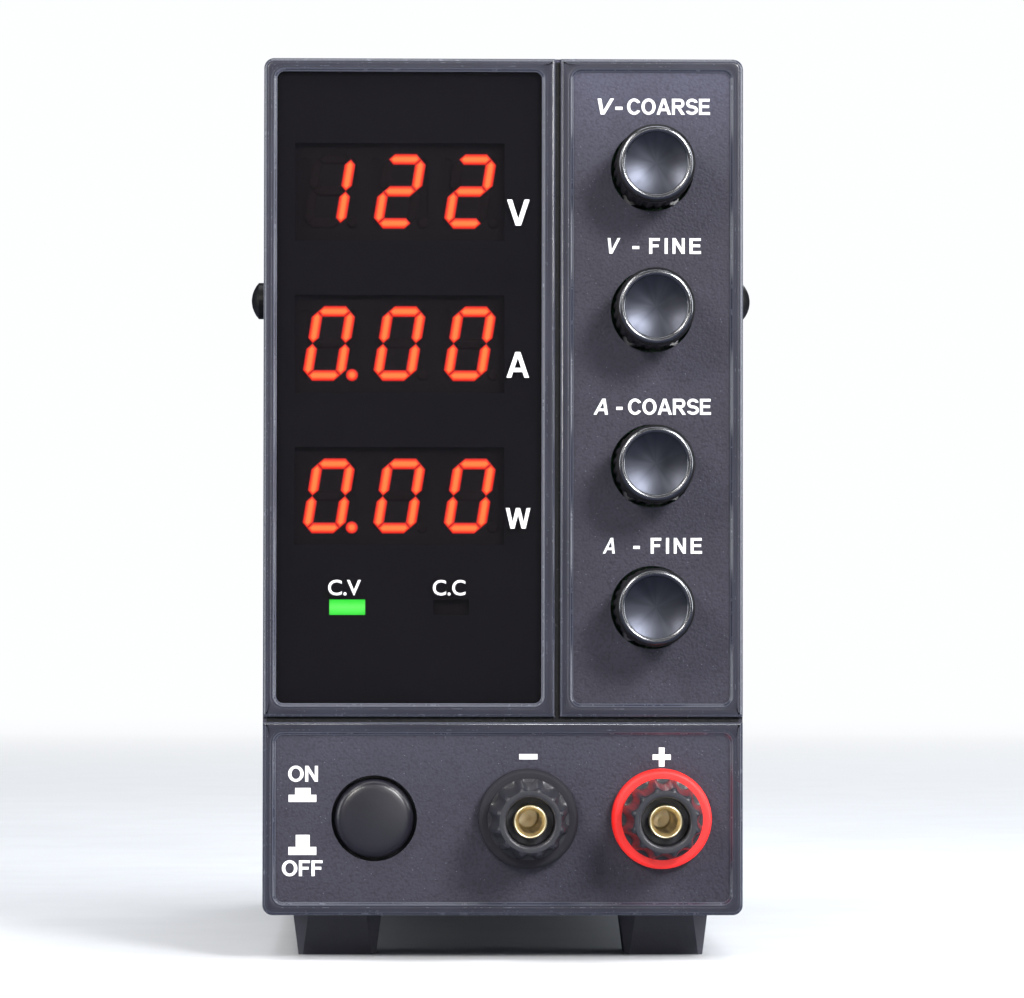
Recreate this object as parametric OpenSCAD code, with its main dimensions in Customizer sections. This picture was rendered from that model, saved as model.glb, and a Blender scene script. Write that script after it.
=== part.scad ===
// Bench power supply: a narrow upright case with a moulded front panel.
// The front faces -Y, +Z is up and +X is to the right of someone facing it.

/* [Front panel] */
// Width of the moulded front panel
panel_w = 84; // [82:0.5:92]
// Height of the moulded front panel
panel_h = 150; // [149:0.5:156]
// Depth of the moulding from its raised frames to its back edge
panel_d = 16; // [15.8:0.1:19]
// Radius of the panel's four outer corners
panel_r = 1.8; // [1.2:0.1:3]
// Thickness of the panel's side walls
panel_wall = 2; // [1.5:0.1:2.6]
// Thickness of the face behind the recessed fields
panel_face = 2.4; // [2:0.1:3]
// Width of each raised frame's rim
rim_w = 2.3; // [1.9:0.1:2.8]
// Slope on the inner edge of each rim
rim_bevel = 0.6; // [0.2:0.1:0.7]
// Slope on the panel's outer front edge
edge_bevel = 0.5; // [0.2:0.1:0.8]
// Drop from the rims to the recessed fields
field_drop = 0.8; // [0.7:0.1:1.2]
// Corner radius of the recessed fields
field_r = 1.3; // [0.8:0.1:2]
// Width of the grooves between the raised frames
groove_w = 1; // [0.6:0.1:1.6]
// Depth of the grooves
groove_drop = 1.2; // [0.6:0.1:1.6]
// Width of the knob column, from the groove's centre to the right edge
column_w = 32.5; // [31:0.5:34]
// Height of the lower frame, up to the groove's centre
lower_h = 34.2; // [33:0.2:37]

/* [Display] */
// Thickness of the smoked window
window_t = 1.5; // [1.2:0.1:1.8]
// Width of the ledge that the window rests on
ledge_w = 2.5; // [2:0.1:3]
// Width of a three-digit display
display_w = 37.6; // [34:0.1:37.8]
// Height of a three-digit display
display_h = 18; // [16:0.2:18.4]
// Depth of a three-digit display
display_d = 8; // [5:0.5:8.5]
// Distance between the rows of digits
display_pitch = 26.7; // [24:0.1:27]
// Centre of the top row of digits, below the panel's top
display_top = 23.3; // [22:0.1:25]
// Centre of the digits, from the panel's left edge
display_in = 23.8; // [23.4:0.1:24.5]
// Width of an indicator bar
led_w = 6.3; // [4:0.1:8]
// Height of an indicator bar
led_h = 2.7; // [2:0.1:4]
// Distance between the two indicator bars
led_pitch = 18.2; // [12:0.1:20]
// Height of the indicator bars above the groove's centre
led_up = 19.6; // [15:0.1:21]

/* [Control board] */
// Height of the moulded posts that carry the board
post_h = 9; // [8.8:0.1:9.4]
// Thickness of the printed boards
board_t = 1.6; // [1.2:0.1:1.8]
// Gap between the board's edge and the panel's side walls
board_gap = 2; // [1.5:0.1:2.6]
// Diameter of a board post
board_post = 4.4; // [3.8:0.1:4.8]

/* [Knobs] */
// Diameter of a knob
knob_d = 13.6; // [12:0.1:13.9]
// How far a knob stands out of the rims
knob_out = 14; // [10:0.5:16]
// Depth of the knob's foot below the rims
knob_in = 1.6; // [1.2:0.1:2]
// Diameter of the panel hole around a knob
knob_hole = 14.6; // [14.3:0.1:15.4]
// Distance from the knobs' centre line to the panel's right edge
knob_side = 15.9; // [15:0.1:17]
// Centre of the top knob, below the panel's top
knob_top = 19.4; // [17:0.1:21]
// Distance between a coarse knob and its fine knob
knob_pair = 24.8; // [22:0.1:25.5]
// Distance between the two coarse knobs
knob_group = 52; // [50:0.1:52.6]
// Diameter of the dished face of a knob
dish_d = 10.8; // [8:0.1:11]
// Depth of the dished face
dish_drop = 1; // [0.4:0.1:1.6]
// Diameter of the polished ring on a knob
ring_d = 12.6; // [11.8:0.1:13]
// Number of grips around a knob
knob_grips = 24; // [16:1:30]
// Diameter of a potentiometer shaft
shaft_d = 6; // [4:0.1:6.3]
// Depth of a potentiometer's body
pot_d = 6.8; // [5:0.1:7.2]
// Width of a potentiometer's body
pot_w = 9.6; // [8.4:0.1:11]

/* [Power button] */
// Diameter of the power button
button_d = 13.7; // [11:0.1:13.8]
// Diameter of the hole around the power button
button_hole = 15; // [14.4:0.1:16]
// How far the latched button stands out of the rims
button_out = 1.2; // [0.6:0.1:2]
// Height of the dome on the button's face
button_dome = 0.9; // [0.4:0.1:1.4]
// Distance from the button's centre to the panel's left edge
button_in = 19.5; // [17:0.1:21]
// Travel of the button between on and off
button_travel = 4; // [2:0.1:4.5]
// Diameter of the switch plunger
plunger_d = 5; // [3:0.1:6]

/* [Binding posts] */
// Distance between the two posts
post_pitch = 23.3; // [20:0.1:24.5]
// Distance from the right post's centre to the panel's right edge
post_side = 14.3; // [12.5:0.1:15.5]
// Height of the posts and the power button above the panel's bottom edge
lower_row = 16.9; // [15.4:0.1:18]
// Diameter of the coloured base
base_d = 17.5; // [16.4:0.1:19]
// How far the coloured base stands out of the rims
base_out = 2.4; // [1.9:0.1:3]
// Diameter of the cap at its base
cap_base = 14.2; // [13.6:0.1:15]
// Diameter of the cap at its front
cap_front = 12; // [11.2:0.1:13]
// How far the cap stands out of the rims
cap_out = 17; // [16:0.5:20]
// Number of grips around a cap
cap_grips = 12; // [8:1:16]
// Diameter of the hole in the cap's front
cap_mouth = 8.4; // [7.4:0.1:8.8]
// Depth of the hole in the cap's front
cap_mouth_deep = 4.5; // [3:0.5:7]
// Outer diameter of the brass socket
stud_d = 5.9; // [5.4:0.1:6.2]
// Diameter of the socket's bore
socket_d = 4; // [3.8:0.1:4.2]
// Depth of the socket's bore
socket_deep = 22; // [18:0.5:26]

/* [Case] */
// Depth of the case from the rims to the cover's back edge
body_d = 200; // [196:1:230]
// Thickness of the cover
cover_t = 1; // [0.8:0.1:1.2]
// How far the cover lies inside the panel's outline
cover_inset = 0.2; // [0.1:0.1:0.5]
// Outer bend radius of the cover
cover_r = 2; // [1.6:0.1:3]
// Thickness of the chassis sheets
sheet_t = 1.2; // [1:0.1:1.5]
// Depth of the sheets' folded flanges
flange_d = 13; // [11:0.5:15]
// Height of the tray's side lips
lip_h = 13; // [8:0.5:16]
// Height of the side screws above the panel's bottom edge
screw_z = 108.7; // [90:0.1:130]
// Diameter of a side screw's head
head_d = 6.5; // [5.6:0.1:7]
// Height of a side screw's head
head_h = 2.9; // [1.8:0.1:3]
// Diameter of the case screws' thread
thread_d = 3; // [2.5:0.1:3.5]

/* [Vents] */
// Width of a vent slot
slot_w = 3; // [2:0.1:3.6]
// Length of a vent slot
slot_l = 24; // [16:1:28]
// Distance between vent slots
slot_pitch = 8; // [6:0.5:9]
// Number of vent slots in a row
slot_count = 12; // [6:1:13]

/* [Feet] */
// Height of a foot
foot_h = 8; // [6:0.1:12]
// Width of a foot at the case
foot_top = 16; // [14:0.5:18]
// Width of a foot at the floor
foot_base = 13.8; // [12:0.1:16]
// Distance from the case's centre line to a foot's centre
foot_x = 29.1; // [26:0.1:30]
// Distance from the tray's ends to a foot's centre
foot_in = 10; // [9.5:0.5:14]

/* [Fan] */
// Width of the fan's square frame
fan_w = 60; // [58:0.5:62]
// Depth of the fan
fan_d = 15; // [14:0.5:20]
// Distance between the fan's screws
fan_pitch = 50; // [49:0.1:51]
// Height of the fan's centre above the panel's bottom edge
fan_z = 104; // [100:0.5:108]
// Diameter of the rotor's hub
hub_d = 28; // [24:0.5:30]
// Number of blades
blades = 7; // [5:1:7]
// Thickness of a blade
blade_t = 1.2; // [0.9:0.1:1.5]
// Gap between the blade tips and the frame
tip_gap = 0.7; // [0.5:0.1:1.2]

/* [Mains inlet] */
// Width of the inlet's flange over its ears
inlet_w = 50; // [49:0.5:51]
// Height of the inlet's flange
inlet_h = 33; // [32.4:0.2:34]
// Thickness of the inlet's flange
inlet_t = 2; // [1.6:0.1:2.4]
// Distance between the inlet's screws
inlet_pitch = 40; // [39.5:0.1:40.5]
// Distance from the cover's left side to the inlet's flange
inlet_left = 3.8; // [3.4:0.1:4.2]
// Height of the inlet's centre above the panel's bottom edge
inlet_z = 28; // [24:0.5:32]
// Width of the socket's cavity
cavity_w = 24.4; // [24:0.1:25]
// Height of the socket's cavity
cavity_h = 16.6; // [16.2:0.1:17]
// Depth of the socket's cavity
cavity_d = 16; // [15:0.5:18]
// Width of the fuse drawer
drawer_w = 22; // [21.6:0.1:22.4]
// Height of the fuse drawer
drawer_h = 7; // [6.4:0.1:7.2]
// Depth of the fuse drawer
drawer_d = 20; // [16:0.5:22]
// Diameter of the fuse
fuse_d = 5.2; // [4.5:0.1:5.2]

/* [Voltage selector] */
// How far the selector sits right of the middle of the space beside the inlet
selector_x = 0.1; // [-0.6:0.1:0.6]
// Length of the selector's slider
slider_l = 8; // [6:0.5:10]
// Width of the selector's slider
slider_w = 5.6; // [4:0.1:6]
// Travel of the selector's slider
slider_travel = 5; // [3:0.5:6]

/* [Main board] */
// Height of the board above the tray
standoff_h = 8.6; // [6:0.2:10]
// Gap between the board and the tray's lips
main_gap = 2.5; // [1.5:0.5:4]
// Distance from the bulkhead to the board's front edge
main_front = 29; // [27:1:34]
// Distance from the rear panel to the board's back edge
main_back = 30; // [29:1:34]
// Diameter of a large capacitor
bulk_d = 22; // [18:0.5:24]
// Height of a large capacitor
bulk_h = 36; // [25:1:45]
// Height of the heat sinks
sink_h = 62; // [45:1:70]
// Length of the heat sinks
sink_l = 60; // [45:1:64]
// Width of the transformer's core
core_w = 36; // [32:0.5:38]
// Height of the transformer's core
core_h = 36; // [30:0.5:40]
// Thickness of the transformer's core
core_t = 14; // [10:0.5:18]
// Distance from the transformer's middle to the board's back edge
core_back = 42; // [40:0.5:43]
// Width of a power transistor
transistor_w = 16; // [12:0.5:20]
// Height of a power transistor's body
transistor_h = 21; // [16:0.5:26]
// Thickness of a power transistor's body
transistor_t = 5; // [4:0.1:6]
// Length of a power transistor's leads above the board
transistor_lead = 16; // [10:0.5:20]
// Distance between a power transistor's leads
transistor_pitch = 5; // [3:0.1:5.5]

/* [Hidden] */
$fn = 64;
// Overshoot that lets a cut leave no skin
cut = 0.1;
// Running clearance of a shaft in its bush
run_gap = 0.06;
// Clearance of a piece that drops into its seat
seat_gap = 0.1;
// Gap between pieces that move past each other
move_gap = 0.3;

// Panel: the raised frames lie between these grooves
groove_x = panel_w / 2 - column_w;
groove_z = lower_h;
face_back = field_drop + panel_face;
half_w = panel_w / 2;
frame_in = groove_w / 2 + rim_w;
window_x = [-half_w + rim_w, groove_x - frame_in];
window_z = [groove_z + frame_in, panel_h - rim_w];
column_x = [groove_x + frame_in, half_w - rim_w];
lower_x = [-half_w + rim_w, half_w - rim_w];
lower_z = [rim_w, groove_z - frame_in];

// Bosses in the panel's corners for the screws that hold it to the bulkhead
boss_r = 3.2;
boss_in = 5;
boss_places = [for (x = [-1, 1]) for (z = [boss_in, panel_h - boss_in]) [x * (half_w - boss_in), z]];

// Control board: seated on the posts moulded into the panel
board_front = face_back + post_h;
board_back = board_front + board_t;
board_x = half_w - panel_wall - board_gap;
board_z = [groove_z + 4, panel_h - boss_in - boss_r - 0.8];
board_hole = 2.6;
post_places = [
    for (x = [-board_x + 1.8, groove_x, board_x - 1.8])
        for (z = [board_z[0] + board_hole, board_z[1] - board_hole]) [x, z]
];
post_pilot = 1.15;
display_x = -half_w + display_in;
display_z = [for (i = [0:2]) panel_h - display_top - i * display_pitch];
led_z = groove_z + led_up;

// Knobs and their potentiometers
knob_x = half_w - knob_side;
coarse_v_z = panel_h - knob_top;
fine_v_z = coarse_v_z - knob_pair;
coarse_a_z = coarse_v_z - knob_group;
fine_a_z = coarse_a_z - knob_pair;
knob_places = [coarse_v_z, fine_v_z, coarse_a_z, fine_a_z];
pot_front = board_front - pot_d;
bushing_r = shaft_d / 2 + 0.9;
bushing_front = knob_in - 1.2;
socket_r = bushing_r + 0.6;
socket_end = bushing_front - 1;
shaft_front = -knob_out + 4.5;
shaft_flat = shaft_d / 4;

// Power button, latched in at rest
button_x = -half_w + button_in;
button_flange = [face_back + move_gap + button_travel, face_back + move_gap + button_travel + 1.4];
button_over = 0.6;
snout_front = button_flange[1] + button_over + 0.9;
bulkhead = [panel_d, panel_d + sheet_t];
switch_back = bulkhead[1] + 25;
plunger_back = switch_back - 10;
snout_r = plunger_d / 2 + 1.6;

// Binding posts
post_x = [half_w - post_side - post_pitch, half_w - post_side];
neck_r = 6;
clamp_t = 1;
clamp_r = 5.9;
clamp_gap = 0.05;
cap_back = -base_out - move_gap;
clamp_back = -base_out - clamp_gap;
socket_front = -cap_out + 0.8;
collar_r = 4.8;
collar_t = 1.6;
insulator_t = 3;
nut_t = 3;
tag_t = 0.8;
nut_places = [face_back + insulator_t, face_back + insulator_t + nut_t + tag_t];
socket_back = nut_places[1] + nut_t + 3;

// Case sheets
cover_x = half_w - cover_inset;
cover_top = panel_h - cover_inset;
cover_low = cover_inset;
inner_x = cover_x - cover_t - seat_gap;
inner_top = cover_top - cover_t - seat_gap;
tray_top = cover_low + sheet_t;
rear = [body_d - 0.8 - sheet_t, body_d - 0.8];
screw_depths = [bulkhead[1] + flange_d / 2, rear[0] - flange_d / 2];
flange_low = tray_top + lip_h + 2;
thread_hole = thread_d / 2 + 0.05;

// Fan and its grille
fan_front = rear[0] - fan_d;
fan_bore = fan_w / 2 - 1.5;
fan_hole = 2.2;
rotor_front = 1.6;
rotor_back = fan_d - 2.8;
spider_front = fan_d - 2;
pin_r = 1.5;

// Inlet, its drawer and the selector
inlet_x = -cover_x + inlet_left + inlet_w / 2;
selector_mid = (inlet_x + inlet_w / 2 + cover_x) / 2 + selector_x;
flange_back = rear[1] + inlet_t;
body_back = rear[1] - 26;
inlet_body = [13.5, inlet_h / 2 - 1.3];
cavity_z = inlet_body[1] - 1.4 - cavity_h / 2;
drawer_z = -inlet_body[1] + 1.7 + drawer_h / 2;
pin_w = 2;
pin_h = 4;
pin_tip = flange_back - 4;
cavity_end = flange_back - cavity_d;
drawer_lip = [flange_back + seat_gap, flange_back + seat_gap + 1.4];
fuse_l = drawer_w - 2;
fuse_depth = flange_back - drawer_d / 2;
slider_slot = slider_l + slider_travel + 2 * move_gap;
selector_d = 12;

// Main board and what stands on it
main_top = tray_top + standoff_h + board_t;
main_x = inner_x - sheet_t - main_gap;
main_y = [bulkhead[1] + main_front, rear[0] - main_back];
sink_y = [main_y[1] - 12 - sink_l, main_y[1] - 12];
core_y = main_y[1] - core_back;
core_leg = core_w / 4;
sink_deep = 10;
lead_r = 1.6;
bend_r = 4;

// Whole object: the bounding box is centred on the origin
drawer_nose = drawer_lip[1];
front_y = cap_out - (cap_out + drawer_nose) / 2;

// Moves a piece from the panel's own frame to the object's frame
module place() {
    translate([0, front_y, foot_h]) children();
}

// Box between two corners
module block(x, d, z) {
    translate([x[0], d[0], z[0]]) cube([x[1] - x[0], d[1] - d[0], z[1] - z[0]]);
}

// Round bar along the depth
module rod(x, z, d, r) {
    translate([x, d[1], z]) rotate([90, 0, 0]) cylinder(h = d[1] - d[0], r = r);
}

// Cone along the depth, with a radius at each end
module taper(x, z, d, r) {
    translate([x, d[1], z]) rotate([90, 0, 0]) cylinder(h = d[1] - d[0], r1 = r[1], r2 = r[0]);
}

// Outline drawn in width and height, extruded along the depth
module slab(d) {
    translate([0, d[1], 0]) rotate([90, 0, 0]) linear_extrude(d[1] - d[0]) children();
}

// Outline drawn in depth and height, extruded across the width
module across(x) {
    translate([x[0], 0, 0]) rotate([90, 0, 90]) linear_extrude(x[1] - x[0]) children();
}

// Outline drawn in width and depth, extruded upwards
module upright(z) {
    translate([0, 0, z[0]]) linear_extrude(z[1] - z[0]) children();
}

// Rectangle with round corners
module round_rect(x, z, r) {
    translate([x[0] + r, z[0]]) square([x[1] - x[0] - 2 * r, z[1] - z[0]]);
    translate([x[0], z[0] + r]) square([x[1] - x[0], z[1] - z[0] - 2 * r]);
    for (cx = [x[0] + r, x[1] - r])
        for (cz = [z[0] + r, z[1] - r]) translate([cx, cz]) circle(r);
}

// Rounded rectangle whose outline at d[0] is larger than at d[1] by grow
module flare(x, z, r, d, grow) {
    across([x[0] + r, x[1] - r])
        polygon([[d[0], z[0] - grow], [d[1], z[0]], [d[1], z[1]], [d[0], z[1] + grow]]);
    upright([z[0] + r, z[1] - r])
        polygon([[x[0] - grow, d[0]], [x[1] + grow, d[0]], [x[1], d[1]], [x[0], d[1]]]);
    for (cx = [x[0] + r, x[1] - r])
        for (cz = [z[0] + r, z[1] - r]) taper(cx, cz, d, [r + grow, r]);
}

// Slot with round ends along the second axis
module slot(length, width) {
    translate([-width / 2, -length / 2 + width / 2]) square([width, length - width]);
    for (s = [-1, 1]) translate([0, s * (length - width) / 2]) circle(width / 2);
}

// Pan head with a domed top: its seat at d[0], its top at d[1]
module pan_head(x, z, d, r) {
    rise = abs(d[1] - d[0]);
    dome = (r * r + rise * rise) / (2 * rise) + rise / 2;
    intersection() {
        rod(x, z, [min(d[0], d[1]), max(d[0], d[1])], r);
        translate([x, d[1] > d[0] ? d[1] - dome : d[1] + dome, z]) sphere(dome);
    }
}

// Recess of one raised frame, with its sloped inner edge
module recess(x, z) {
    flare(x, z, field_r, [-cut, rim_bevel], rim_bevel + cut);
    slab([0, field_drop]) round_rect(x, z, field_r);
}

// Cross-section of a groove: sloped edges and a flat floor
module groove_section() {
    h = groove_w / 2;
    b = edge_bevel / 2;
    polygon([
        [-h - b - cut, -cut], [h + b + cut, -cut], [h, b],
        [h, groove_drop], [-h, groove_drop], [-h, b],
    ]);
}

module panel_shell() {
    outer_x = [-half_w, half_w];
    outer_z = [0, panel_h];
    inner_x = [-half_w + panel_wall, half_w - panel_wall];
    inner_z = [panel_wall, panel_h - panel_wall];
    difference() {
        union() {
            flare(outer_x, outer_z, panel_r, [0, edge_bevel], -edge_bevel);
            slab([edge_bevel, panel_d]) round_rect(outer_x, outer_z, panel_r);
        }
        slab([face_back, panel_d + cut]) round_rect(inner_x, inner_z, panel_r / 2);
        translate([groove_x, 0, groove_z]) upright([0, panel_h]) groove_section();
        translate([0, 0, groove_z]) rotate([0, 90, 0])
            upright([-panel_w, panel_w]) groove_section();
        recess(column_x, window_z);
        recess(lower_x, lower_z);
        recess(window_x, window_z);
        slab([0, field_drop + window_t]) round_rect(window_x, window_z, field_r);
        slab([0, face_back + cut])
            round_rect([window_x[0] + ledge_w, window_x[1] - ledge_w],
                       [window_z[0] + ledge_w, window_z[1] - ledge_w], field_r);
        for (z = knob_places) rod(knob_x, z, [0, face_back + cut], knob_hole / 2);
        rod(button_x, lower_row, [0, face_back + cut], button_hole / 2);
        for (x = post_x) rod(x, lower_row, [0, face_back + cut], neck_r + seat_gap);
    }
}

module front_panel() {
    color([0.27, 0.27, 0.31]) place() {
        panel_shell();
        difference() {
            union() {
                for (p = boss_places) rod(p[0], p[1], [face_back, panel_d], boss_r);
                for (p = post_places) rod(p[0], p[1], [face_back, board_front], board_post / 2);
                for (p = post_places)
                    if (abs(p[0]) > half_w / 2)
                        block([min(p[0], sign(p[0]) * (half_w - panel_wall)),
                               max(p[0], sign(p[0]) * (half_w - panel_wall))],
                              [face_back, board_front - 2], [p[1] - 0.6, p[1] + 0.6]);
            }
            for (p = boss_places) rod(p[0], p[1], [face_back + 1, panel_d + cut], thread_hole);
            for (p = post_places) rod(p[0], p[1], [face_back + 1, board_front + cut], post_pilot);
        }
    }
}

module display_window() {
    color([0.08, 0.07, 0.09, 0.8]) place()
        slab([field_drop, field_drop + window_t])
            round_rect([window_x[0] + seat_gap, window_x[1] - seat_gap],
                       [window_z[0] + seat_gap, window_z[1] - seat_gap], field_r - seat_gap);
}

module control_board() {
    color([0.1, 0.35, 0.2]) place() slab([board_front, board_back]) difference() {
        translate([-board_x, board_z[0]]) square([2 * board_x, board_z[1] - board_z[0]]);
        for (p = post_places) translate(p) circle(post_pilot + 0.2);
    }
}

module display_module(z) {
    face = board_front - display_d;
    color([0.09, 0.09, 0.1]) place() difference() {
        block([display_x - display_w / 2, display_x + display_w / 2], [face, board_front],
              [z - display_h / 2, z + display_h / 2]);
        for (i = [-1:1])
            translate([display_x + i * display_w / 3, 0, z]) slab([face - cut, face + 0.4])
                for (s = [-1, 1]) translate([s * display_w / 9, 0]) slot(display_h * 0.68, 1.6);
    }
}

module voltage_display() { display_module(display_z[0]); }
module current_display() { display_module(display_z[1]); }
module power_display() { display_module(display_z[2]); }

module led_bar(x) {
    face = board_front - display_d;
    place() block([x - led_w / 2, x + led_w / 2], [face, board_front],
                  [led_z - led_h / 2, led_z + led_h / 2]);
}

module constant_voltage_led() { color([0.2, 0.95, 0.25]) led_bar(display_x - led_pitch / 2); }
module constant_current_led() { color([0.35, 0.1, 0.1]) led_bar(display_x + led_pitch / 2); }

// Shaft with its flat, as a bore when grow is above zero
module d_shaft(z, d, grow) {
    r = shaft_d / 2 + grow;
    difference() {
        rod(knob_x, z, d, r);
        block([knob_x - r - cut, knob_x + r + cut], [d[0] - cut, d[1] + cut],
              [z + shaft_flat + grow, z + r + cut]);
    }
}

module knob(z) {
    r = knob_d / 2;
    slope = r - ring_d / 2;
    dish_r = (pow(dish_d / 2, 2) + dish_drop * dish_drop) / (2 * dish_drop);
    color([0.07, 0.07, 0.08]) place() difference() {
        union() {
            taper(knob_x, z, [-knob_out, -knob_out + slope], [ring_d / 2, r]);
            rod(knob_x, z, [-knob_out + slope, knob_in], r);
        }
        translate([knob_x, -knob_out - dish_r + dish_drop, z]) sphere(dish_r);
        for (i = [0:knob_grips - 1])
            translate([knob_x, 0, z]) rotate([0, i * 360 / knob_grips, 0])
                rod(r + 0.25, 0, [-knob_out + 2.2, knob_in + cut], 0.5);
        rod(knob_x, z, [socket_end, knob_in + cut], socket_r);
        d_shaft(z, [shaft_front, socket_end + cut], 0.02);
    }
}

module voltage_coarse_knob() { knob(coarse_v_z); }
module voltage_fine_knob() { knob(fine_v_z); }
module current_coarse_knob() { knob(coarse_a_z); }
module current_fine_knob() { knob(fine_a_z); }

module pot_shaft(z) {
    color([0.75, 0.75, 0.72]) place() {
        d_shaft(z, [shaft_front, bushing_front - 0.4], 0);
        rod(knob_x, z, [bushing_front - 0.4, board_front - 2], shaft_d / 2);
    }
}

module voltage_coarse_shaft() { pot_shaft(coarse_v_z); }
module voltage_fine_shaft() { pot_shaft(fine_v_z); }
module current_coarse_shaft() { pot_shaft(coarse_a_z); }
module current_fine_shaft() { pot_shaft(fine_a_z); }

module potentiometers() {
    half = pot_w / 2;
    color([0.55, 0.57, 0.6]) place() for (z = knob_places) difference() {
        union() {
            block([knob_x - half, knob_x + half], [pot_front, board_front], [z - half - 1, z + half]);
            rod(knob_x, z, [bushing_front, pot_front], bushing_r);
        }
        rod(knob_x, z, [bushing_front - cut, board_front - 2 + move_gap], shaft_d / 2 + run_gap);
    }
}

module control_board_screws() {
    color([0.6, 0.6, 0.62]) place() for (p = post_places) {
        pan_head(p[0], p[1], [board_back, board_back + 1.4], 2);
        rod(p[0], p[1], [board_back - 6, board_back], post_pilot - 0.05);
    }
}

module power_button() {
    r = button_d / 2;
    dome = (r * r + button_dome * button_dome) / (2 * button_dome);
    color([0.1, 0.1, 0.12]) place() {
        intersection() {
            rod(button_x, lower_row, [-button_out, button_flange[0]], r);
            translate([button_x, -button_out + dome, lower_row]) sphere(dome, $fn = 128);
        }
        rod(button_x, lower_row, [0, button_flange[0]], r);
        rod(button_x, lower_row, button_flange, button_hole / 2 + 0.7);
    }
}

module switch_plunger() {
    color([0.8, 0.8, 0.76]) place()
        rod(button_x, lower_row, [button_flange[1], plunger_back], plunger_d / 2);
}

module power_switch() {
    half = 7;
    color([0.12, 0.12, 0.13]) place() {
        difference() {
            union() {
                rod(button_x, lower_row, [snout_front, bulkhead[1]], snout_r);
                block([button_x - half, button_x + half], [bulkhead[1], switch_back],
                      [lower_row - half + 1, lower_row + half - 1]);
            }
            rod(button_x, lower_row, [snout_front - cut, plunger_back + button_over + move_gap],
                plunger_d / 2 + run_gap);
        }
        for (x = [-4, 4]) for (z = [-3, 3])
            block([button_x + x - 0.4, button_x + x + 0.4], [switch_back, switch_back + 4],
                  [lower_row + z - 1.5, lower_row + z + 1.5]);
    }
}

// Coloured base of a binding post, with a neck through the panel
module post_base(x) {
    place() difference() {
        union() {
            taper(x, lower_row, [-base_out, -base_out + 0.5], [base_d / 2 - 0.5, base_d / 2]);
            rod(x, lower_row, [-base_out + 0.5, field_drop], base_d / 2);
            rod(x, lower_row, [field_drop, face_back], neck_r);
        }
        rod(x, lower_row, [-base_out - cut, face_back + cut], stud_d / 2 + 0.05);
        translate([x, 0, lower_row]) slab([-base_out - cut, -base_out + collar_t])
            circle(collar_r + 0.05, $fn = 6);
    }
}

module positive_base() { color([0.85, 0.12, 0.1]) post_base(post_x[1]); }
module negative_base() { color([0.08, 0.08, 0.09]) post_base(post_x[0]); }

// Brass socket: a tube open at the front, with a hexagonal collar in the base
module socket_stud(x) {
    color([0.85, 0.7, 0.4]) place() difference() {
        union() {
            rod(x, lower_row, [socket_front, socket_back], stud_d / 2);
            translate([x, 0, lower_row]) slab([-base_out + clamp_gap, -base_out + collar_t])
                circle(collar_r, $fn = 6);
        }
        rod(x, lower_row, [socket_front - cut, socket_front + socket_deep], socket_d / 2);
    }
}

module positive_socket() { socket_stud(post_x[1]); }
module negative_socket() { socket_stud(post_x[0]); }

module clamp_ring(x) {
    color([0.75, 0.75, 0.72]) place() difference() {
        rod(x, lower_row, [clamp_back - clamp_t, clamp_back], clamp_r);
        rod(x, lower_row, [clamp_back - clamp_t - cut, clamp_back + cut], stud_d / 2 + run_gap);
    }
}

module positive_clamp_ring() { clamp_ring(post_x[1]); }
module negative_clamp_ring() { clamp_ring(post_x[0]); }

// Fluted cap: a slim cone with grips cut along its slope
module post_cap(x) {
    depth = cap_out + cap_back;
    slope = atan((cap_base - cap_front) / 2 / depth);
    pocket = clamp_back - clamp_t - clamp_gap;
    grip_r = 1.5;
    color([0.06, 0.06, 0.07]) place() difference() {
        union() {
            taper(x, lower_row, [-cap_out, -cap_out + 0.6], [cap_front / 2 - 0.6, cap_front / 2]);
            taper(x, lower_row, [-cap_out + 0.6, cap_back], [cap_front / 2, cap_base / 2]);
        }
        for (i = [0:cap_grips - 1])
            translate([x, -cap_out, lower_row]) rotate([0, i * 360 / cap_grips, 0])
                translate([cap_front / 2 + grip_r * 0.55, 0, 0]) rotate([0, 0, -slope])
                    rod(0, 0, [-2, depth - 2.4], grip_r);
        rod(x, lower_row, [-cap_out - cut, -cap_out + cap_mouth_deep], cap_mouth / 2);
        rod(x, lower_row, [-cap_out, cap_back + cut], stud_d / 2 + run_gap);
        rod(x, lower_row, [pocket, cap_back + cut], clamp_r + move_gap);
    }
}

module positive_cap() { post_cap(post_x[1]); }
module negative_cap() { post_cap(post_x[0]); }

module post_insulators() {
    color([0.1, 0.1, 0.1]) place() for (x = post_x) difference() {
        rod(x, lower_row, [face_back, nut_places[0]], neck_r + 2);
        rod(x, lower_row, [face_back - cut, nut_places[0] + cut], stud_d / 2 + 0.05);
    }
}

module post_nuts() {
    bore = stud_d / 2 + 0.05;
    color([0.8, 0.7, 0.45]) place() for (x = post_x) {
        for (d = nut_places) translate([x, 0, lower_row]) slab([d, d + nut_t]) difference() {
            circle(bore + 2.4, $fn = 6);
            circle(bore);
        }
        translate([x, 0, lower_row]) slab([nut_places[1] - tag_t, nut_places[1]]) difference() {
            union() {
                circle(bore + 2.2);
                translate([-2, 0]) square([4, 11]);
            }
            circle(bore);
            translate([0, 8.6]) circle(1.1);
        }
    }
}

// Upright sheet that fits inside the cover's bends
module sheet_outline() {
    round_rect([-inner_x, inner_x], [tray_top, inner_top], cover_r - cover_t);
}

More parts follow.
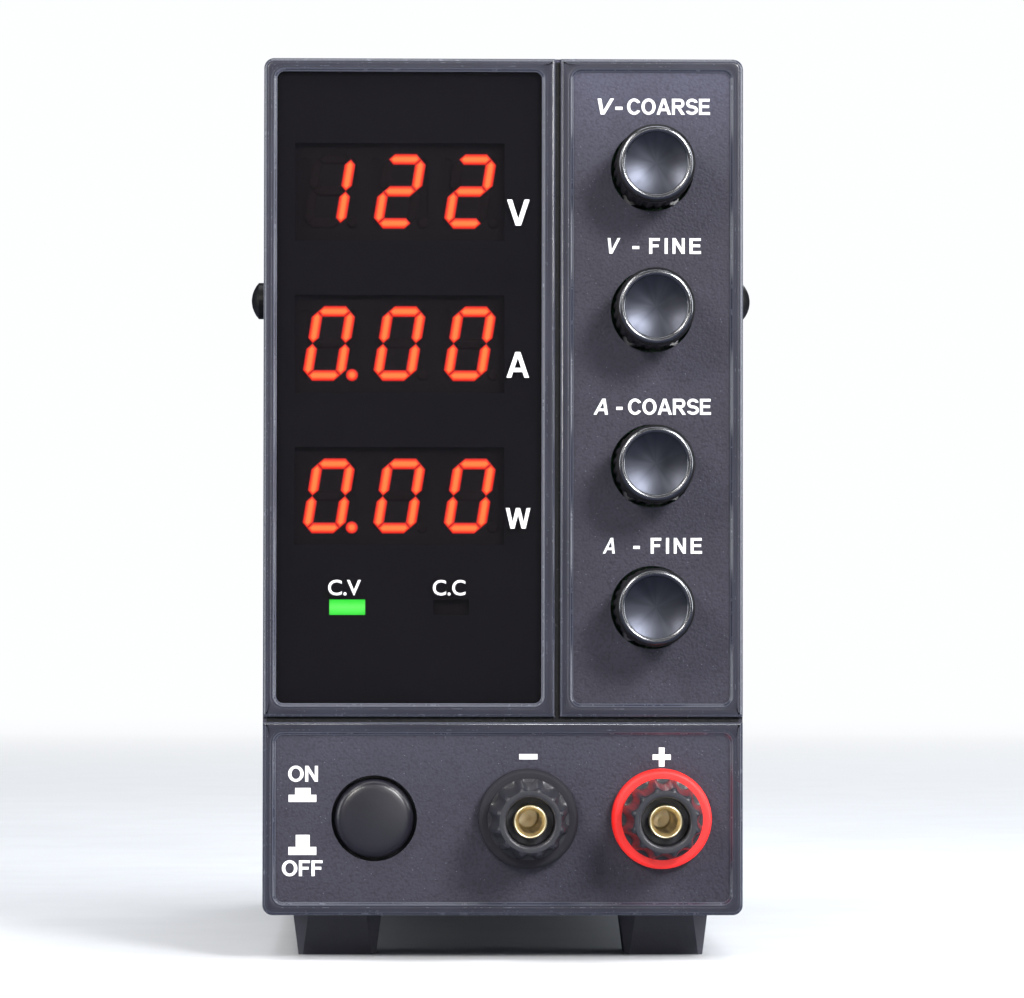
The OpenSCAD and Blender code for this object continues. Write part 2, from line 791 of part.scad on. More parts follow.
module front_bulkhead() {
    hole_x = boss_places[2][0] - boss_r - 2;
    color([0.62, 0.63, 0.65]) place() difference() {
        union() {
            slab(bulkhead) sheet_outline();
            for (s = [-1, 1])
                block([min(s * inner_x, s * (inner_x - sheet_t)),
                       max(s * inner_x, s * (inner_x - sheet_t))],
                      [bulkhead[0], bulkhead[1] + flange_d], [flange_low, inner_top - 2]);
        }
        slab([bulkhead[0] - cut, bulkhead[1] + cut]) {
            round_rect([-hole_x, hole_x], [groove_z + 6, panel_h - boss_in - boss_r - 2], 2);
            for (p = boss_places) translate(p) circle(thread_hole);
            for (x = post_x) translate([x, lower_row]) circle(neck_r + 4);
            translate([button_x, lower_row]) circle(snout_r + seat_gap);
        }
        translate([-panel_w, screw_depths[0], screw_z]) rotate([0, 90, 0])
            cylinder(h = 2 * panel_w, r = thread_hole);
    }
}

module bulkhead_screws() {
    color([0.6, 0.6, 0.62]) place() for (p = boss_places) {
        pan_head(p[0], p[1], [bulkhead[1], bulkhead[1] + 2], 2.4);
        rod(p[0], p[1], [bulkhead[1] - 9, bulkhead[1]], thread_d / 2);
    }
}

foot_places = [for (x = [-foot_x, foot_x]) for (d = [bulkhead[0] + foot_in, rear[1] - foot_in]) [x, d]];
standoff_places = [
    for (x = [-main_x + 5, main_x - 5]) for (d = [main_y[0] + 5, main_y[1] - 5]) [x, d]
];

module chassis_tray() {
    color([0.62, 0.63, 0.65]) place() difference() {
        union() {
            block([-inner_x, inner_x], [panel_d, rear[1]], [cover_low, tray_top]);
            for (s = [-1, 1])
                block([min(s * inner_x, s * (inner_x - sheet_t)),
                       max(s * inner_x, s * (inner_x - sheet_t))],
                      [bulkhead[1], rear[0]], [cover_low, tray_top + lip_h]);
        }
        for (p = foot_places) translate([p[0], p[1], 0]) cylinder(h = 3, r = thread_hole);
        for (p = standoff_places) translate([p[0], p[1], 0]) cylinder(h = 3, r = thread_hole);
    }
}

// Slots of the fan grille: rings cut by four spokes
module grille() {
    web = slot_w * 0.7;
    difference() {
        for (r = [8:slot_w + web:fan_bore - slot_w - 0.5]) difference() {
            circle(r + slot_w);
            circle(r);
        }
        for (a = [45, 135]) rotate(a) square([fan_w, slot_w], center = true);
    }
}

module rear_panel() {
    color([0.62, 0.63, 0.65]) place() difference() {
        union() {
            slab(rear) sheet_outline();
            for (s = [-1, 1])
                block([min(s * inner_x, s * (inner_x - sheet_t)),
                       max(s * inner_x, s * (inner_x - sheet_t))],
                      [rear[0] - flange_d, rear[1]], [flange_low, inner_top - 2]);
        }
        slab([rear[0] - cut, rear[1] + cut]) {
            translate([0, fan_z]) {
                grille();
                for (x = [-1, 1]) for (z = [-1, 1])
                    translate([x, z] * fan_pitch / 2) circle(fan_hole);
            }
            translate([inlet_x, inlet_z]) {
                round_rect([-inlet_body[0] - seat_gap, inlet_body[0] + seat_gap],
                           [-inlet_body[1] - seat_gap, inlet_body[1] + seat_gap], 1.5);
                for (s = [-1, 1]) translate([s * inlet_pitch / 2, 0]) circle(thread_hole);
            }
            translate([selector_mid, inlet_z])
                round_rect([-slider_w / 2 - 1.2, slider_w / 2 + 1.2],
                           [-slider_slot / 2 - 1.2, slider_slot / 2 + 1.2], 1);
        }
        translate([-panel_w, screw_depths[1], screw_z]) rotate([0, 90, 0])
            cylinder(h = 2 * panel_w, r = thread_hole);
    }
}

// Two rows of slots on each side and one row across the top
module cover_vents() {
    middle = (panel_d + rear[0]) / 2 - flange_d / 2;
    first = middle - (slot_count - 1) * slot_pitch / 2;
    for (i = [0:slot_count - 1]) {
        across([-panel_w, panel_w]) for (z = [0, 1])
            translate([first + i * slot_pitch, inner_top - 30 - z * (slot_l + 8)])
                slot(slot_l, slot_w);
        translate([0, first + i * slot_pitch, 0]) upright([inner_top - 5, panel_h + cut])
            rotate(90) slot(slot_l * 1.6, slot_w);
    }
}

module cover() {
    color([0.2, 0.2, 0.22]) place() difference() {
        slab([panel_d, body_d]) difference() {
            round_rect([-cover_x, cover_x], [-2 * cover_r, cover_top], cover_r);
            round_rect([-cover_x + cover_t, cover_x - cover_t],
                       [-3 * cover_r, cover_top - cover_t], cover_r - cover_t);
            translate([-panel_w, -4 * cover_r])
                square([2 * panel_w, 4 * cover_r + cover_low]);
        }
        cover_vents();
        for (d = screw_depths) translate([-panel_w, d, screw_z]) rotate([0, 90, 0])
            cylinder(h = 2 * panel_w, r = thread_hole);
    }
}

module cover_screws() {
    color([0.08, 0.08, 0.09]) place() for (s = [-1, 1]) for (d = screw_depths)
        translate([0, d, screw_z]) rotate([0, 0, s * 90]) {
            pan_head(0, 0, [-cover_x, -cover_x - head_h], head_d / 2);
            rod(0, 0, [-cover_x, -inner_x + 5], thread_d / 2);
        }
}

module fan_frame() {
    half = fan_w / 2;
    color([0.1, 0.1, 0.11]) place() translate([0, fan_front, fan_z]) {
        slab([0, fan_d]) difference() {
            round_rect([-half, half], [-half, half], 4);
            circle(fan_bore);
            for (x = [-1, 1]) for (z = [-1, 1]) translate([x, z] * fan_pitch / 2) circle(fan_hole);
        }
        slab([spider_front, fan_d]) {
            circle(hub_d / 2 - 0.5);
            for (a = [0, 90]) rotate(a) square([2 * fan_bore + 0.4, 4], center = true);
        }
        rod(0, 0, [rotor_front + 2, spider_front], pin_r);
    }
}

// One blade: a slice of a thin arched shell, kept between hub and tip
module blade() {
    arch = 15;
    middle = (rotor_front + rotor_back) / 2;
    reach = rotor_back - rotor_front - 1;
    intersection() {
        difference() {
            rod(0, 0, [middle - reach / 2, middle + reach / 2], fan_bore - tip_gap);
            rod(0, 0, [middle - reach, middle + reach], hub_d / 2 - 0.6);
        }
        translate([0, middle, 0]) across([hub_d / 2 - 2, fan_bore])
            rotate(35) translate([0, -arch + blade_t / 2]) difference() {
                circle(arch);
                circle(arch - blade_t);
                translate([-2 * arch, -2 * arch]) square([4 * arch, 2 * arch]);
            }
    }
}

module fan_rotor() {
    color([0.14, 0.14, 0.15]) place() translate([0, fan_front, fan_z]) {
        difference() {
            rod(0, 0, [rotor_front, rotor_back], hub_d / 2);
            rod(0, 0, [rotor_front + 1.6, rotor_back + cut], pin_r + run_gap);
            difference() {
                rod(0, 0, [rotor_front + 1.6, rotor_back + cut], hub_d / 2 - 1.4);
                rod(0, 0, [rotor_front, rotor_back + 2 * cut], pin_r + 2);
            }
        }
        for (i = [0:blades - 1]) rotate([0, i * 360 / blades, 0]) blade();
    }
}

module fan_screws() {
    color([0.6, 0.6, 0.62]) place() for (x = [-1, 1]) for (z = [-1, 1]) {
        px = x * fan_pitch / 2;
        pz = fan_z + z * fan_pitch / 2;
        pan_head(px, pz, [rear[1], rear[1] + 2.2], 3.6);
        rod(px, pz, [rear[1] - 12, rear[1]], 2);
    }
}

// Mouth of the inlet: two corners are cut so that a plug enters one way round
module cavity_outline() {
    w = cavity_w / 2;
    h = cavity_h / 2;
    c = 4.5;
    polygon([[-w, -h], [w, -h], [w, h - c], [w - c, h], [-w + c, h], [-w, h - c]]);
}

module power_inlet() {
    bx = inlet_body[0];
    bz = inlet_body[1];
    dw = drawer_w / 2 + seat_gap;
    dh = drawer_h / 2 + seat_gap;
    color([0.07, 0.07, 0.08]) place() translate([inlet_x, 0, inlet_z]) difference() {
        union() {
            slab([rear[1], flange_back]) {
                round_rect([-inlet_w / 2, inlet_w / 2], [-7, 7], 5);
                round_rect([-bx - 2, bx + 2], [-inlet_h / 2, inlet_h / 2], 2);
            }
            slab([body_back, rear[1]]) round_rect([-bx, bx], [-bz, bz], 1.4);
        }
        slab([cavity_end, flange_back + cut]) translate([0, cavity_z]) cavity_outline();
        block([-dw, dw], [flange_back - drawer_d - seat_gap, flange_back + cut],
              [drawer_z - dh, drawer_z + dh]);
        for (s = [-1, 1]) rod(s * inlet_pitch / 2, 0, [rear[1] - cut, flange_back + cut], thread_hole);
    }
}

module inlet_pins() {
    color([0.8, 0.78, 0.7]) place() translate([inlet_x, 0, inlet_z + cavity_z])
        for (p = [[-7, -2], [7, -2], [0, 2]]) {
            x = [p[0] - pin_w / 2, p[0] + pin_w / 2];
            z = [p[1] - pin_h / 2, p[1] + pin_h / 2];
            block(x, [cavity_end, pin_tip], z);
            block([p[0] - 0.4, p[0] + 0.4], [body_back - 7, body_back], [z[0], z[0] + 4.8]);
        }
}

module inlet_screws() {
    color([0.6, 0.6, 0.62]) place() for (s = [-1, 1]) {
        pan_head(inlet_x + s * inlet_pitch / 2, inlet_z, [flange_back, flange_back + 1.3], 2.8);
        rod(inlet_x + s * inlet_pitch / 2, inlet_z, [rear[0] - 4, flange_back], thread_d / 2);
    }
}

module fuse_drawer() {
    w = drawer_w / 2 - seat_gap;
    h = drawer_h / 2 - seat_gap;
    color([0.1, 0.1, 0.11]) place() translate([inlet_x, 0, inlet_z + drawer_z]) {
        difference() {
            block([-w, w], [flange_back - drawer_d, drawer_lip[1]], [-h, h]);
            block([-fuse_l / 2 - 0.05, fuse_l / 2 + 0.05],
                  [fuse_depth - fuse_d / 2 - 0.05, fuse_depth + fuse_d / 2 + 0.05],
                  [-fuse_d / 2 - 0.05, h + cut]);
        }
        block([-w - 1, w + 1], drawer_lip, [-h - 0.6, h + 0.6]);
    }
}

module fuse() {
    color([0.8, 0.82, 0.8]) place() translate([inlet_x - fuse_l / 2, fuse_depth, inlet_z + drawer_z])
        rotate([0, 90, 0]) cylinder(h = fuse_l, r = fuse_d / 2);
}

module voltage_selector() {
    w = slider_w / 2 + move_gap;
    color([0.1, 0.1, 0.1]) place() translate([selector_mid, 0, inlet_z]) difference() {
        block([-6.5, 6.5], [rear[0] - selector_d, rear[0]], [-slider_slot / 2 - 5, slider_slot / 2 + 5]);
        block([-w, w], [rear[0] - 3, rear[0] + cut], [-slider_slot / 2, slider_slot / 2]);
    }
}

module selector_slider() {
    low = -slider_slot / 2 + move_gap;
    color([0.8, 0.12, 0.1]) place() translate([selector_mid, 0, inlet_z]) difference() {
        block([-slider_w / 2, slider_w / 2], [rear[0] - 3 + seat_gap, rear[1] - 0.2], [low, low + slider_l]);
        block([-slider_w, slider_w], [rear[1] - 1, rear[1] + cut],
              [low + slider_l / 2 - 0.5, low + slider_l / 2 + 0.5]);
    }
}

module main_board() {
    color([0.1, 0.35, 0.2]) place() upright([main_top - board_t, main_top]) difference() {
        translate([-main_x, main_y[0]]) square([2 * main_x, main_y[1] - main_y[0]]);
        for (p = standoff_places) translate(p) circle(thread_hole);
    }
}

module board_standoffs() {
    color([0.8, 0.7, 0.45]) place() for (p = standoff_places) translate([p[0], p[1], 0]) {
        translate([0, 0, tray_top]) cylinder(h = standoff_h, r = 2.8);
        translate([0, 0, main_top - board_t]) cylinder(h = board_t, r = thread_d / 2);
        translate([0, 0, main_top]) cylinder(h = 1.8, r = 2.7);
    }
}

// Two E-shaped halves that meet around the winding
module transformer_core() {
    window = core_w / 4;
    color([0.25, 0.25, 0.27]) place() slab([core_y - core_t / 2, core_y + core_t / 2]) difference() {
        translate([-core_w / 2, main_top]) square([core_w, core_h]);
        for (s = [-1, 1])
            translate([s * (core_leg / 2 + window / 2) - window / 2, main_top + core_leg / 2])
                square([window, core_h - core_leg]);
    }
}

module transformer_winding() {
    reach = core_leg / 2 + core_w / 4 - 0.3;
    color([0.85, 0.75, 0.3]) place()
        upright([main_top + core_leg / 2, main_top + core_h - core_leg / 2]) difference() {
            round_rect([-reach, reach], [core_y - core_t / 2 - core_w / 5, core_y + core_t / 2 + core_w / 5], 4);
            translate([-core_leg / 2, core_y - core_t / 2]) square([core_leg, core_t]);
        }
}

module can(x, d, r, h) {
    translate([x, d, main_top]) difference() {
        cylinder(h = h, r = r);
        for (a = [0, 60, 120]) rotate(a) translate([-r * 0.7, -0.3, h - 0.4]) cube([r * 1.4, 0.6, 1]);
    }
}

module bulk_capacitors() {
    color([0.15, 0.17, 0.3]) place() for (s = [-1, 1])
        can(s * (bulk_d / 2 + 1), main_y[0] + 12 + bulk_d / 2 + 4, bulk_d / 2, bulk_h);
}

module output_capacitors() {
    color([0.15, 0.15, 0.2]) place() for (i = [0:2])
        can(-12 + i * 12, main_y[1] - 6.5, 5, 18);
}

// Extruded comb: a flat back with fins that face the case's side
module sink_outline() {
    fins = floor(sink_l / 5);
    square([3, sink_l]);
    for (i = [0:fins]) translate([0, i * (sink_l - 1.4) / fins]) square([sink_deep - 1, 1.4]);
}

module heat_sinks() {
    color([0.7, 0.71, 0.73]) place() for (s = [-1, 1]) mirror([s > 0 ? 0 : 1, 0, 0])
        translate([main_x - sink_deep, sink_y[0], 0])
            upright([main_top, main_top + sink_h]) sink_outline();
}

module power_transistors() {
    back = main_x - sink_deep;
    base = main_top + transistor_lead;
    edge = transistor_w / 2;
    lead_x = back - transistor_t * 0.56;
    color([0.1, 0.1, 0.1]) place()
        for (s = [-1, 1]) for (d = [sink_y[0] + sink_l * 0.23, sink_y[1] - sink_l * 0.23])
            mirror([s > 0 ? 0 : 1, 0, 0]) {
                block([back - transistor_t, back], [d - edge, d + edge], [base, base + transistor_h]);
                for (i = [-1:1])
                    block([lead_x - 0.4, lead_x + 0.4],
                          [d + i * transistor_pitch - 0.6, d + i * transistor_pitch + 0.6],
                          [main_top, base]);
            }
}

module output_choke() {
    outer = 11;
    wire = 1.1;
    turns = 16;
    color([0.75, 0.4, 0.2]) place()
        translate([0, (core_y + core_t / 2 + core_w / 5 + main_y[1] - 15) / 2, main_top + outer + wire])
            rotate([90, 0, 0]) {
                rotate_extrude() translate([outer - 5, -3.5]) square([5, 7]);
                for (i = [0:turns - 1]) rotate(i * 360 / turns) {
                    for (s = [-1, 1]) translate([outer - 6, 0, s * (3.5 + wire * 0.9)]) rotate([0, 90, 0])
                        cylinder(h = 7, r = wire);
                }
            }
}

// Insulated lead: straight along the depth, then bent down to the board
module lead(x, z, from, to, r) {
    back = to > from ? 1 : -1;
    rod(x, z, [min(from, to), max(from, to)], r);
    translate([x, to, z - bend_r]) rotate([0, -90, 0]) rotate([0, 0, back > 0 ? 0 : -90])
        rotate_extrude(angle = 90) translate([bend_r, 0]) circle(r);
    translate([x, to + back * bend_r, main_top]) cylinder(h = z - bend_r - main_top, r = r);
}

module wiring() {
    switch_x = button_x;
    color([0.6, 0.1, 0.1]) place() {
        for (x = post_x) lead(x, main_top + 6, socket_back, main_y[0] + 4, lead_r);
        for (s = [-1, 1]) lead(switch_x + s * 4, lower_row - 1, switch_back + 4, main_y[0] + 4, 1);
        for (s = [-1, 1]) lead(inlet_x + s * 7, inlet_z + cavity_z - 1.6, body_back - 7, main_y[1] - 10, 1.2);
    }
}

// Flat cable from the control board down to the main board
module ribbon_cable() {
    r = 6;
    t = 1;
    top = board_z[0] + 22;
    turn = main_y[0] + 3 - r;
    color([0.75, 0.75, 0.78]) place() across([-16, 0]) {
        translate([board_back, top - t]) square([turn - board_back, t]);
        translate([turn, top - r]) difference() {
            circle(r);
            circle(r - t);
            translate([-r - 1, -r - 1]) square([r + 1, 2 * r + 2]);
            translate([-r - 1, -r - 1]) square([2 * r + 2, r + 1]);
        }
        translate([turn + r - t, main_top]) square([t, top - r - main_top]);
    }
}

// Foot: a block whose four sides slope in towards the floor
module foot() {
    a = foot_top / 2;
    b = foot_base / 2;
    high = foot_h + cover_low;
    difference() {
        intersection() {
            translate([0, a, 0]) rotate([90, 0, 0]) linear_extrude(2 * a)
                polygon([[-b, 0], [b, 0], [a, high], [-a, high]]);
            across([-a, a]) polygon([[-b, 0], [b, 0], [a, high], [-a, high]]);
            linear_extrude(high) rotate(45) square(2.3 * a, center = true);
        }
        translate([0, 0, -cut]) cylinder(h = 4 + cut, r = 4);
        cylinder(h = high + cut, r = thread_hole);
    }
}

module feet() {
    color([0.05, 0.05, 0.06]) translate([0, front_y, 0])
        for (p = foot_places) translate([p[0], p[1], 0]) foot();
}

module foot_screws() {
    color([0.6, 0.6, 0.62]) translate([0, front_y, 0]) for (p = foot_places) translate([p[0], p[1], 0]) {
        translate([0, 0, 2]) cylinder(h = 2, r = 3);
        translate([0, 0, 4]) cylinder(h = foot_h + tray_top - 4 + 1, r = thread_d / 2);
    }
}

front_panel();
display_window();
control_board();
voltage_display();
current_display();
power_display();
constant_voltage_led();
constant_current_led();
voltage_coarse_knob();
voltage_fine_knob();
current_coarse_knob();
current_fine_knob();
voltage_coarse_shaft();
voltage_fine_shaft();
current_coarse_shaft();
current_fine_shaft();
potentiometers();
control_board_screws();
power_button();
switch_plunger();
power_switch();
positive_base();
negative_base();
positive_socket();
negative_socket();
positive_cap();
negative_cap();
positive_clamp_ring();
negative_clamp_ring();
post_insulators();
post_nuts();
front_bulkhead();
bulkhead_screws();
chassis_tray();
rear_panel();
cover();
cover_screws();
fan_frame();
fan_rotor();
fan_screws();
power_inlet();
inlet_pins();
inlet_screws();
fuse_drawer();
fuse();
voltage_selector();
selector_slider();
main_board();
board_standoffs();
transformer_core();
transformer_winding();
bulk_capacitors();
output_capacitors();
heat_sinks();
power_transistors();
output_choke();
wiring();
ribbon_cable();
feet();
foot_screws();
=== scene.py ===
import math

import bmesh
import bpy
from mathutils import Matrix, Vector


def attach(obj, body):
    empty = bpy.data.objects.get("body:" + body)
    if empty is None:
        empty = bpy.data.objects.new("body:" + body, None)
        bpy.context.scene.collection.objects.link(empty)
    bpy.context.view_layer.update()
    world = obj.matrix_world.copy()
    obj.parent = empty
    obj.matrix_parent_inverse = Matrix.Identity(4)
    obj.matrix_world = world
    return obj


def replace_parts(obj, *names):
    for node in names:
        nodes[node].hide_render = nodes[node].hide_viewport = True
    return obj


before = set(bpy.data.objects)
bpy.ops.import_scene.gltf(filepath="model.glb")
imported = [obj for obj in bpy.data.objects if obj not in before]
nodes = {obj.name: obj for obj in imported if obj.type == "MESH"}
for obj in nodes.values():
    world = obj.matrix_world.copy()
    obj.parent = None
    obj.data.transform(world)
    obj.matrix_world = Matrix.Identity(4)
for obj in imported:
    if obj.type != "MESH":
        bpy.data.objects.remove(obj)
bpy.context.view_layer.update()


# Camera: a long lens about a metre in front of the supply, a little to the left of its middle and at about a
# third of its height, where the photograph was taken from.
camera = bpy.data.objects.new("camera", bpy.data.cameras.new("camera"))
camera.data.lens = 190.94
camera.data.sensor_width = 36
camera.data.clip_end = 30
camera.location = (-0.01907, -1.04285, 0.05966)
camera.rotation_euler = [math.radians(v) for v in (91.272, -0.0745, -1.243)]
bpy.context.scene.collection.objects.link(camera)
bpy.context.scene.camera = camera


# Moulded front panel: one ABS moulding with three raised frames, screwed on from inside. The rims come off a
# polished tool and are satin, the recessed fields are sparked to a fine leathery grain, and the edges of the
# rims are rubbed a little shiny and painted lighter, a painted highlight with painted glints.
panel_front, foot_height = 92.85, 8


def spot(x, d, z):
    """Point in metres, from millimetres: x from the panel's middle, d behind its rims, z above its bottom."""
    return Vector((x, d - panel_front, z + foot_height)) * 0.001


def colour(red, green, blue):
    """Shader colour of a paint matched as 8-bit red, green and blue."""
    mixed = [v / 255 for v in (red, green, blue)]
    return tuple(v / 12.92 if v <= 0.04045 else ((v + 0.055) / 1.055) ** 2.4 for v in mixed) + (1.0,)


def feed(tree, socket, value):
    """Sets an input to a value, or joins it to another node's output."""
    if isinstance(value, bpy.types.NodeSocket):
        tree.links.new(value, socket)
    else:
        socket.default_value = value


def wire(tree, kind, inputs=None, **settings):
    """Adds a shader node with its settings and inputs."""
    made = tree.nodes.new(kind)
    for name, value in settings.items():
        setattr(made, name, value)
    for name, value in (inputs or {}).items():
        feed(tree, made.inputs[name], value)
    return made


def maths(tree, operation, *values):
    """Output of a Math node."""
    return wire(tree, "ShaderNodeMath", dict(enumerate(values)), operation=operation).outputs[0]


def blend_values(tree, mask, first, second):
    """Value that goes from first to second with the mask."""
    return wire(tree, "ShaderNodeMix", {0: mask, 2: first, 3: second}).outputs[0]


def blend_colours(tree, mask, first, second):
    """Colour that goes from first to second with the mask."""
    return wire(tree, "ShaderNodeMix", {0: mask, 6: first, 7: second}, data_type="RGBA").outputs[2]


def between(tree, value, low, high, out_low=0.0, out_high=1.0):
    """The value, carried from one range to another and held at its ends."""
    inputs = {"Value": value, "From Min": low, "From Max": high, "To Min": out_low, "To Max": out_high}
    return wire(tree, "ShaderNodeMapRange", inputs).outputs[0]


def emboss(tree, shader, height, strength, depth):
    """Gives a shader its relief."""
    relief = wire(tree, "ShaderNodeBump", {"Strength": strength, "Distance": depth, "Height": height})
    tree.links.new(relief.outputs[0], shader.inputs["Normal"])


def effect_group(name, inputs, outputs):
    """Empty shader node group with named inputs and outputs."""
    group = bpy.data.node_groups.new(name, "ShaderNodeTree")
    for label, value in inputs.items():
        socket = group.interface.new_socket(label, in_out="INPUT", socket_type="NodeSocketFloat")
        socket.default_value = value
    for label in outputs:
        group.interface.new_socket(label, in_out="OUTPUT", socket_type="NodeSocketFloat")
    return group, group.nodes.new("NodeGroupInput").outputs, group.nodes.new("NodeGroupOutput").inputs


def place_group(tree, group, **values):
    """The group placed in a material with its own values."""
    made = tree.nodes.new("ShaderNodeGroup")
    made.node_tree = group
    for label, value in values.items():
        made.inputs[label].default_value = value
    return made.outputs


# mould_grain: the pebbled grain of a sparked tool, and the cloudy colour of the plastic.
mould_grain, grain_in, grain_out = effect_group("mould_grain", {"Scale": 1500.0}, ("Height", "Mottle"))
grain_place = wire(mould_grain, "ShaderNodeTexCoord").outputs["Object"]
fine = wire(mould_grain, "ShaderNodeTexNoise",
            {"Vector": grain_place, "Scale": grain_in["Scale"], "Detail": 3.0, "Roughness": 0.6})
pebble = wire(mould_grain, "ShaderNodeTexVoronoi", {"Vector": grain_place, "Scale": grain_in["Scale"]},
              feature="SMOOTH_F1")
mould_grain.links.new(maths(mould_grain, "SUBTRACT", fine.outputs[0], pebble.outputs["Distance"]),
                      grain_out["Height"])
cloud_scale = maths(mould_grain, "MULTIPLY", grain_in["Scale"], 0.045)
cloud = wire(mould_grain, "ShaderNodeTexNoise",
             {"Vector": grain_place, "Scale": cloud_scale, "Detail": 5.0, "Roughness": 0.65})
mould_grain.links.new(cloud.outputs[0], grain_out["Mottle"])

# handling: smudges that change the gloss, and specks of dust.
handling, handling_in, handling_out = effect_group("handling", {"Scale": 60.0, "Spread": 0.5},
                                                   ("Smudge", "Speck"))
handling_place = wire(handling, "ShaderNodeTexCoord").outputs["Object"]
smear = wire(handling, "ShaderNodeTexNoise",
             {"Vector": handling_place, "Scale": handling_in["Scale"], "Detail": 4.0})
dots = wire(handling, "ShaderNodeTexVoronoi", {"Vector": handling_place, "Scale": 900.0})
handling.links.new(between(handling, smear.outputs[0], 0.35, 0.7), handling_out["Smudge"])
handling.links.new(maths(handling, "MULTIPLY", maths(handling, "LESS_THAN", dots.outputs["Distance"], 0.07),
                         handling_in["Spread"]), handling_out["Speck"])


def new_material(name):
    """Node material, its tree and its Principled shader."""
    material = bpy.data.materials.new(name)
    material.use_nodes = True
    return material, material.node_tree, material.node_tree.nodes["Principled BSDF"]


def moulded(name, base, lift=1.25, roughness=0.5, grain=1500.0, depth=0.00004, strength=0.35, metal=0.0,
            specular=0.5):
    """Moulded, painted or cast finish: a mottled colour, uneven gloss, grain and a few specks of dust."""
    material, tree, shader = new_material(name)
    texture = place_group(tree, mould_grain, Scale=grain)
    touch = place_group(tree, handling)
    lighter = tuple(min(1.0, v * lift) for v in base[:3]) + (1.0,)
    dusty = tuple(min(1.0, v * lift + 0.03) for v in base[:3]) + (1.0,)
    shade = blend_colours(tree, between(tree, texture["Mottle"], 0.3, 0.7), base, lighter)
    tree.links.new(blend_colours(tree, touch["Speck"], shade, dusty), shader.inputs["Base Color"])
    tree.links.new(between(tree, touch["Smudge"], 0.0, 1.0, roughness, min(1.0, roughness * 1.2)),
                   shader.inputs["Roughness"])
    shader.inputs["Metallic"].default_value = metal
    shader.inputs["Specular IOR Level"].default_value = specular
    emboss(tree, shader, texture["Height"], strength, depth)
    return material


def dress(material, *names):
    """Puts a finish on CAD nodes."""
    for name in names:
        nodes[name].data.materials.clear()
        nodes[name].data.materials.append(material)


panel_plastic, panel_tree, panel_shader = new_material("panel_plastic")
panel_grain = place_group(panel_tree, mould_grain, Scale=2300.0)
panel_touch = place_group(panel_tree, handling)
panel_place = wire(panel_tree, "ShaderNodeTexCoord")
panel_x, panel_y, panel_z = wire(panel_tree, "ShaderNodeSeparateXYZ",
                                 {0: panel_place.outputs["Object"]}).outputs
facing = wire(panel_tree, "ShaderNodeSeparateXYZ", {0: panel_place.outputs["Normal"]}).outputs[1]


def by_depth(near, far):
    """Mask that rises between two depths of the panel, in millimetres."""
    return between(panel_tree, panel_y, spot(0, near, 0).y, spot(0, far, 0).y)


def by_height(low, high, *out):
    """Mask that changes between two heights of the panel, in millimetres."""
    return between(panel_tree, panel_z, spot(0, 0, low).z, spot(0, 0, high).z, *out)


# Painted light: the fields are painted paler towards the tops of the knob column and the post frame.
painted_top_light = blend_values(panel_tree, by_height(34.1, 34.3), by_height(14, 31, 0.2, 0.34),
                           by_height(128, 151, 0.18, 0.95))
mottle = between(panel_tree, panel_grain["Mottle"], 0.3, 0.7)
field_low = blend_colours(panel_tree, painted_top_light, colour(37, 35, 45), colour(65, 65, 82))
field_high = blend_colours(panel_tree, painted_top_light, colour(43, 41, 52), colour(73, 74, 92))
field_pits = blend_colours(panel_tree, painted_top_light, colour(32, 30, 39), colour(60, 60, 76))
field_mix = blend_colours(panel_tree, between(panel_tree, panel_grain["Height"], -0.25, 0.15), field_pits,
                          blend_colours(panel_tree, mottle, field_low, field_high))
rim_mix = blend_colours(panel_tree, mottle, colour(35, 36, 45), colour(42, 43, 54))
in_field = by_depth(0.7, 0.75)
base_mix = blend_colours(panel_tree, in_field, rim_mix, field_mix)

# Painted shade darkens the grooves between the frames, but not the panel's outer sides.
outer_side = 0.0413
inboard = maths(panel_tree, "LESS_THAN", maths(panel_tree, "ABSOLUTE", panel_x), outer_side)
framed = maths(panel_tree, "MULTIPLY", by_height(149.6, 149.3), by_height(0.4, 0.7))
painted_groove_shade = maths(panel_tree, "MULTIPLY", maths(panel_tree, "MULTIPLY", by_depth(0.86, 1.1), inboard), framed)
base_mix = blend_colours(panel_tree, painted_groove_shade, base_mix, colour(14, 14, 18))

# Edges are the faces that turn neither to the front nor to a side. They are glossier, and painted lighter as a
# painted highlight.
facing_front = maths(panel_tree, "ABSOLUTE", facing)
on_edge = maths(panel_tree, "MULTIPLY", between(panel_tree, facing_front, 0.35, 0.5),
                between(panel_tree, facing_front, 0.97, 0.9))
edge_highlight_mix = blend_colours(panel_tree, on_edge, base_mix, colour(74, 76, 88))
panel_tree.links.new(blend_colours(panel_tree, panel_touch["Speck"], edge_highlight_mix, colour(122, 122, 136)),
                     panel_shader.inputs["Base Color"])
satin = between(panel_tree, panel_touch["Smudge"], 0.0, 1.0, 0.28, 0.36)
panel_tree.links.new(blend_values(panel_tree, on_edge, blend_values(panel_tree, in_field, satin, 0.58), 0.25),
                     panel_shader.inputs["Roughness"])
grain_weight = between(panel_tree, in_field, 0.0, 1.0, 0.1, 1.0)
emboss(panel_tree, panel_shader, maths(panel_tree, "MULTIPLY", panel_grain["Height"], grain_weight),
       0.6, 0.0001)
panel_shader.inputs["Specular IOR Level"].default_value = 0.28
dress(panel_plastic, "front_panel")

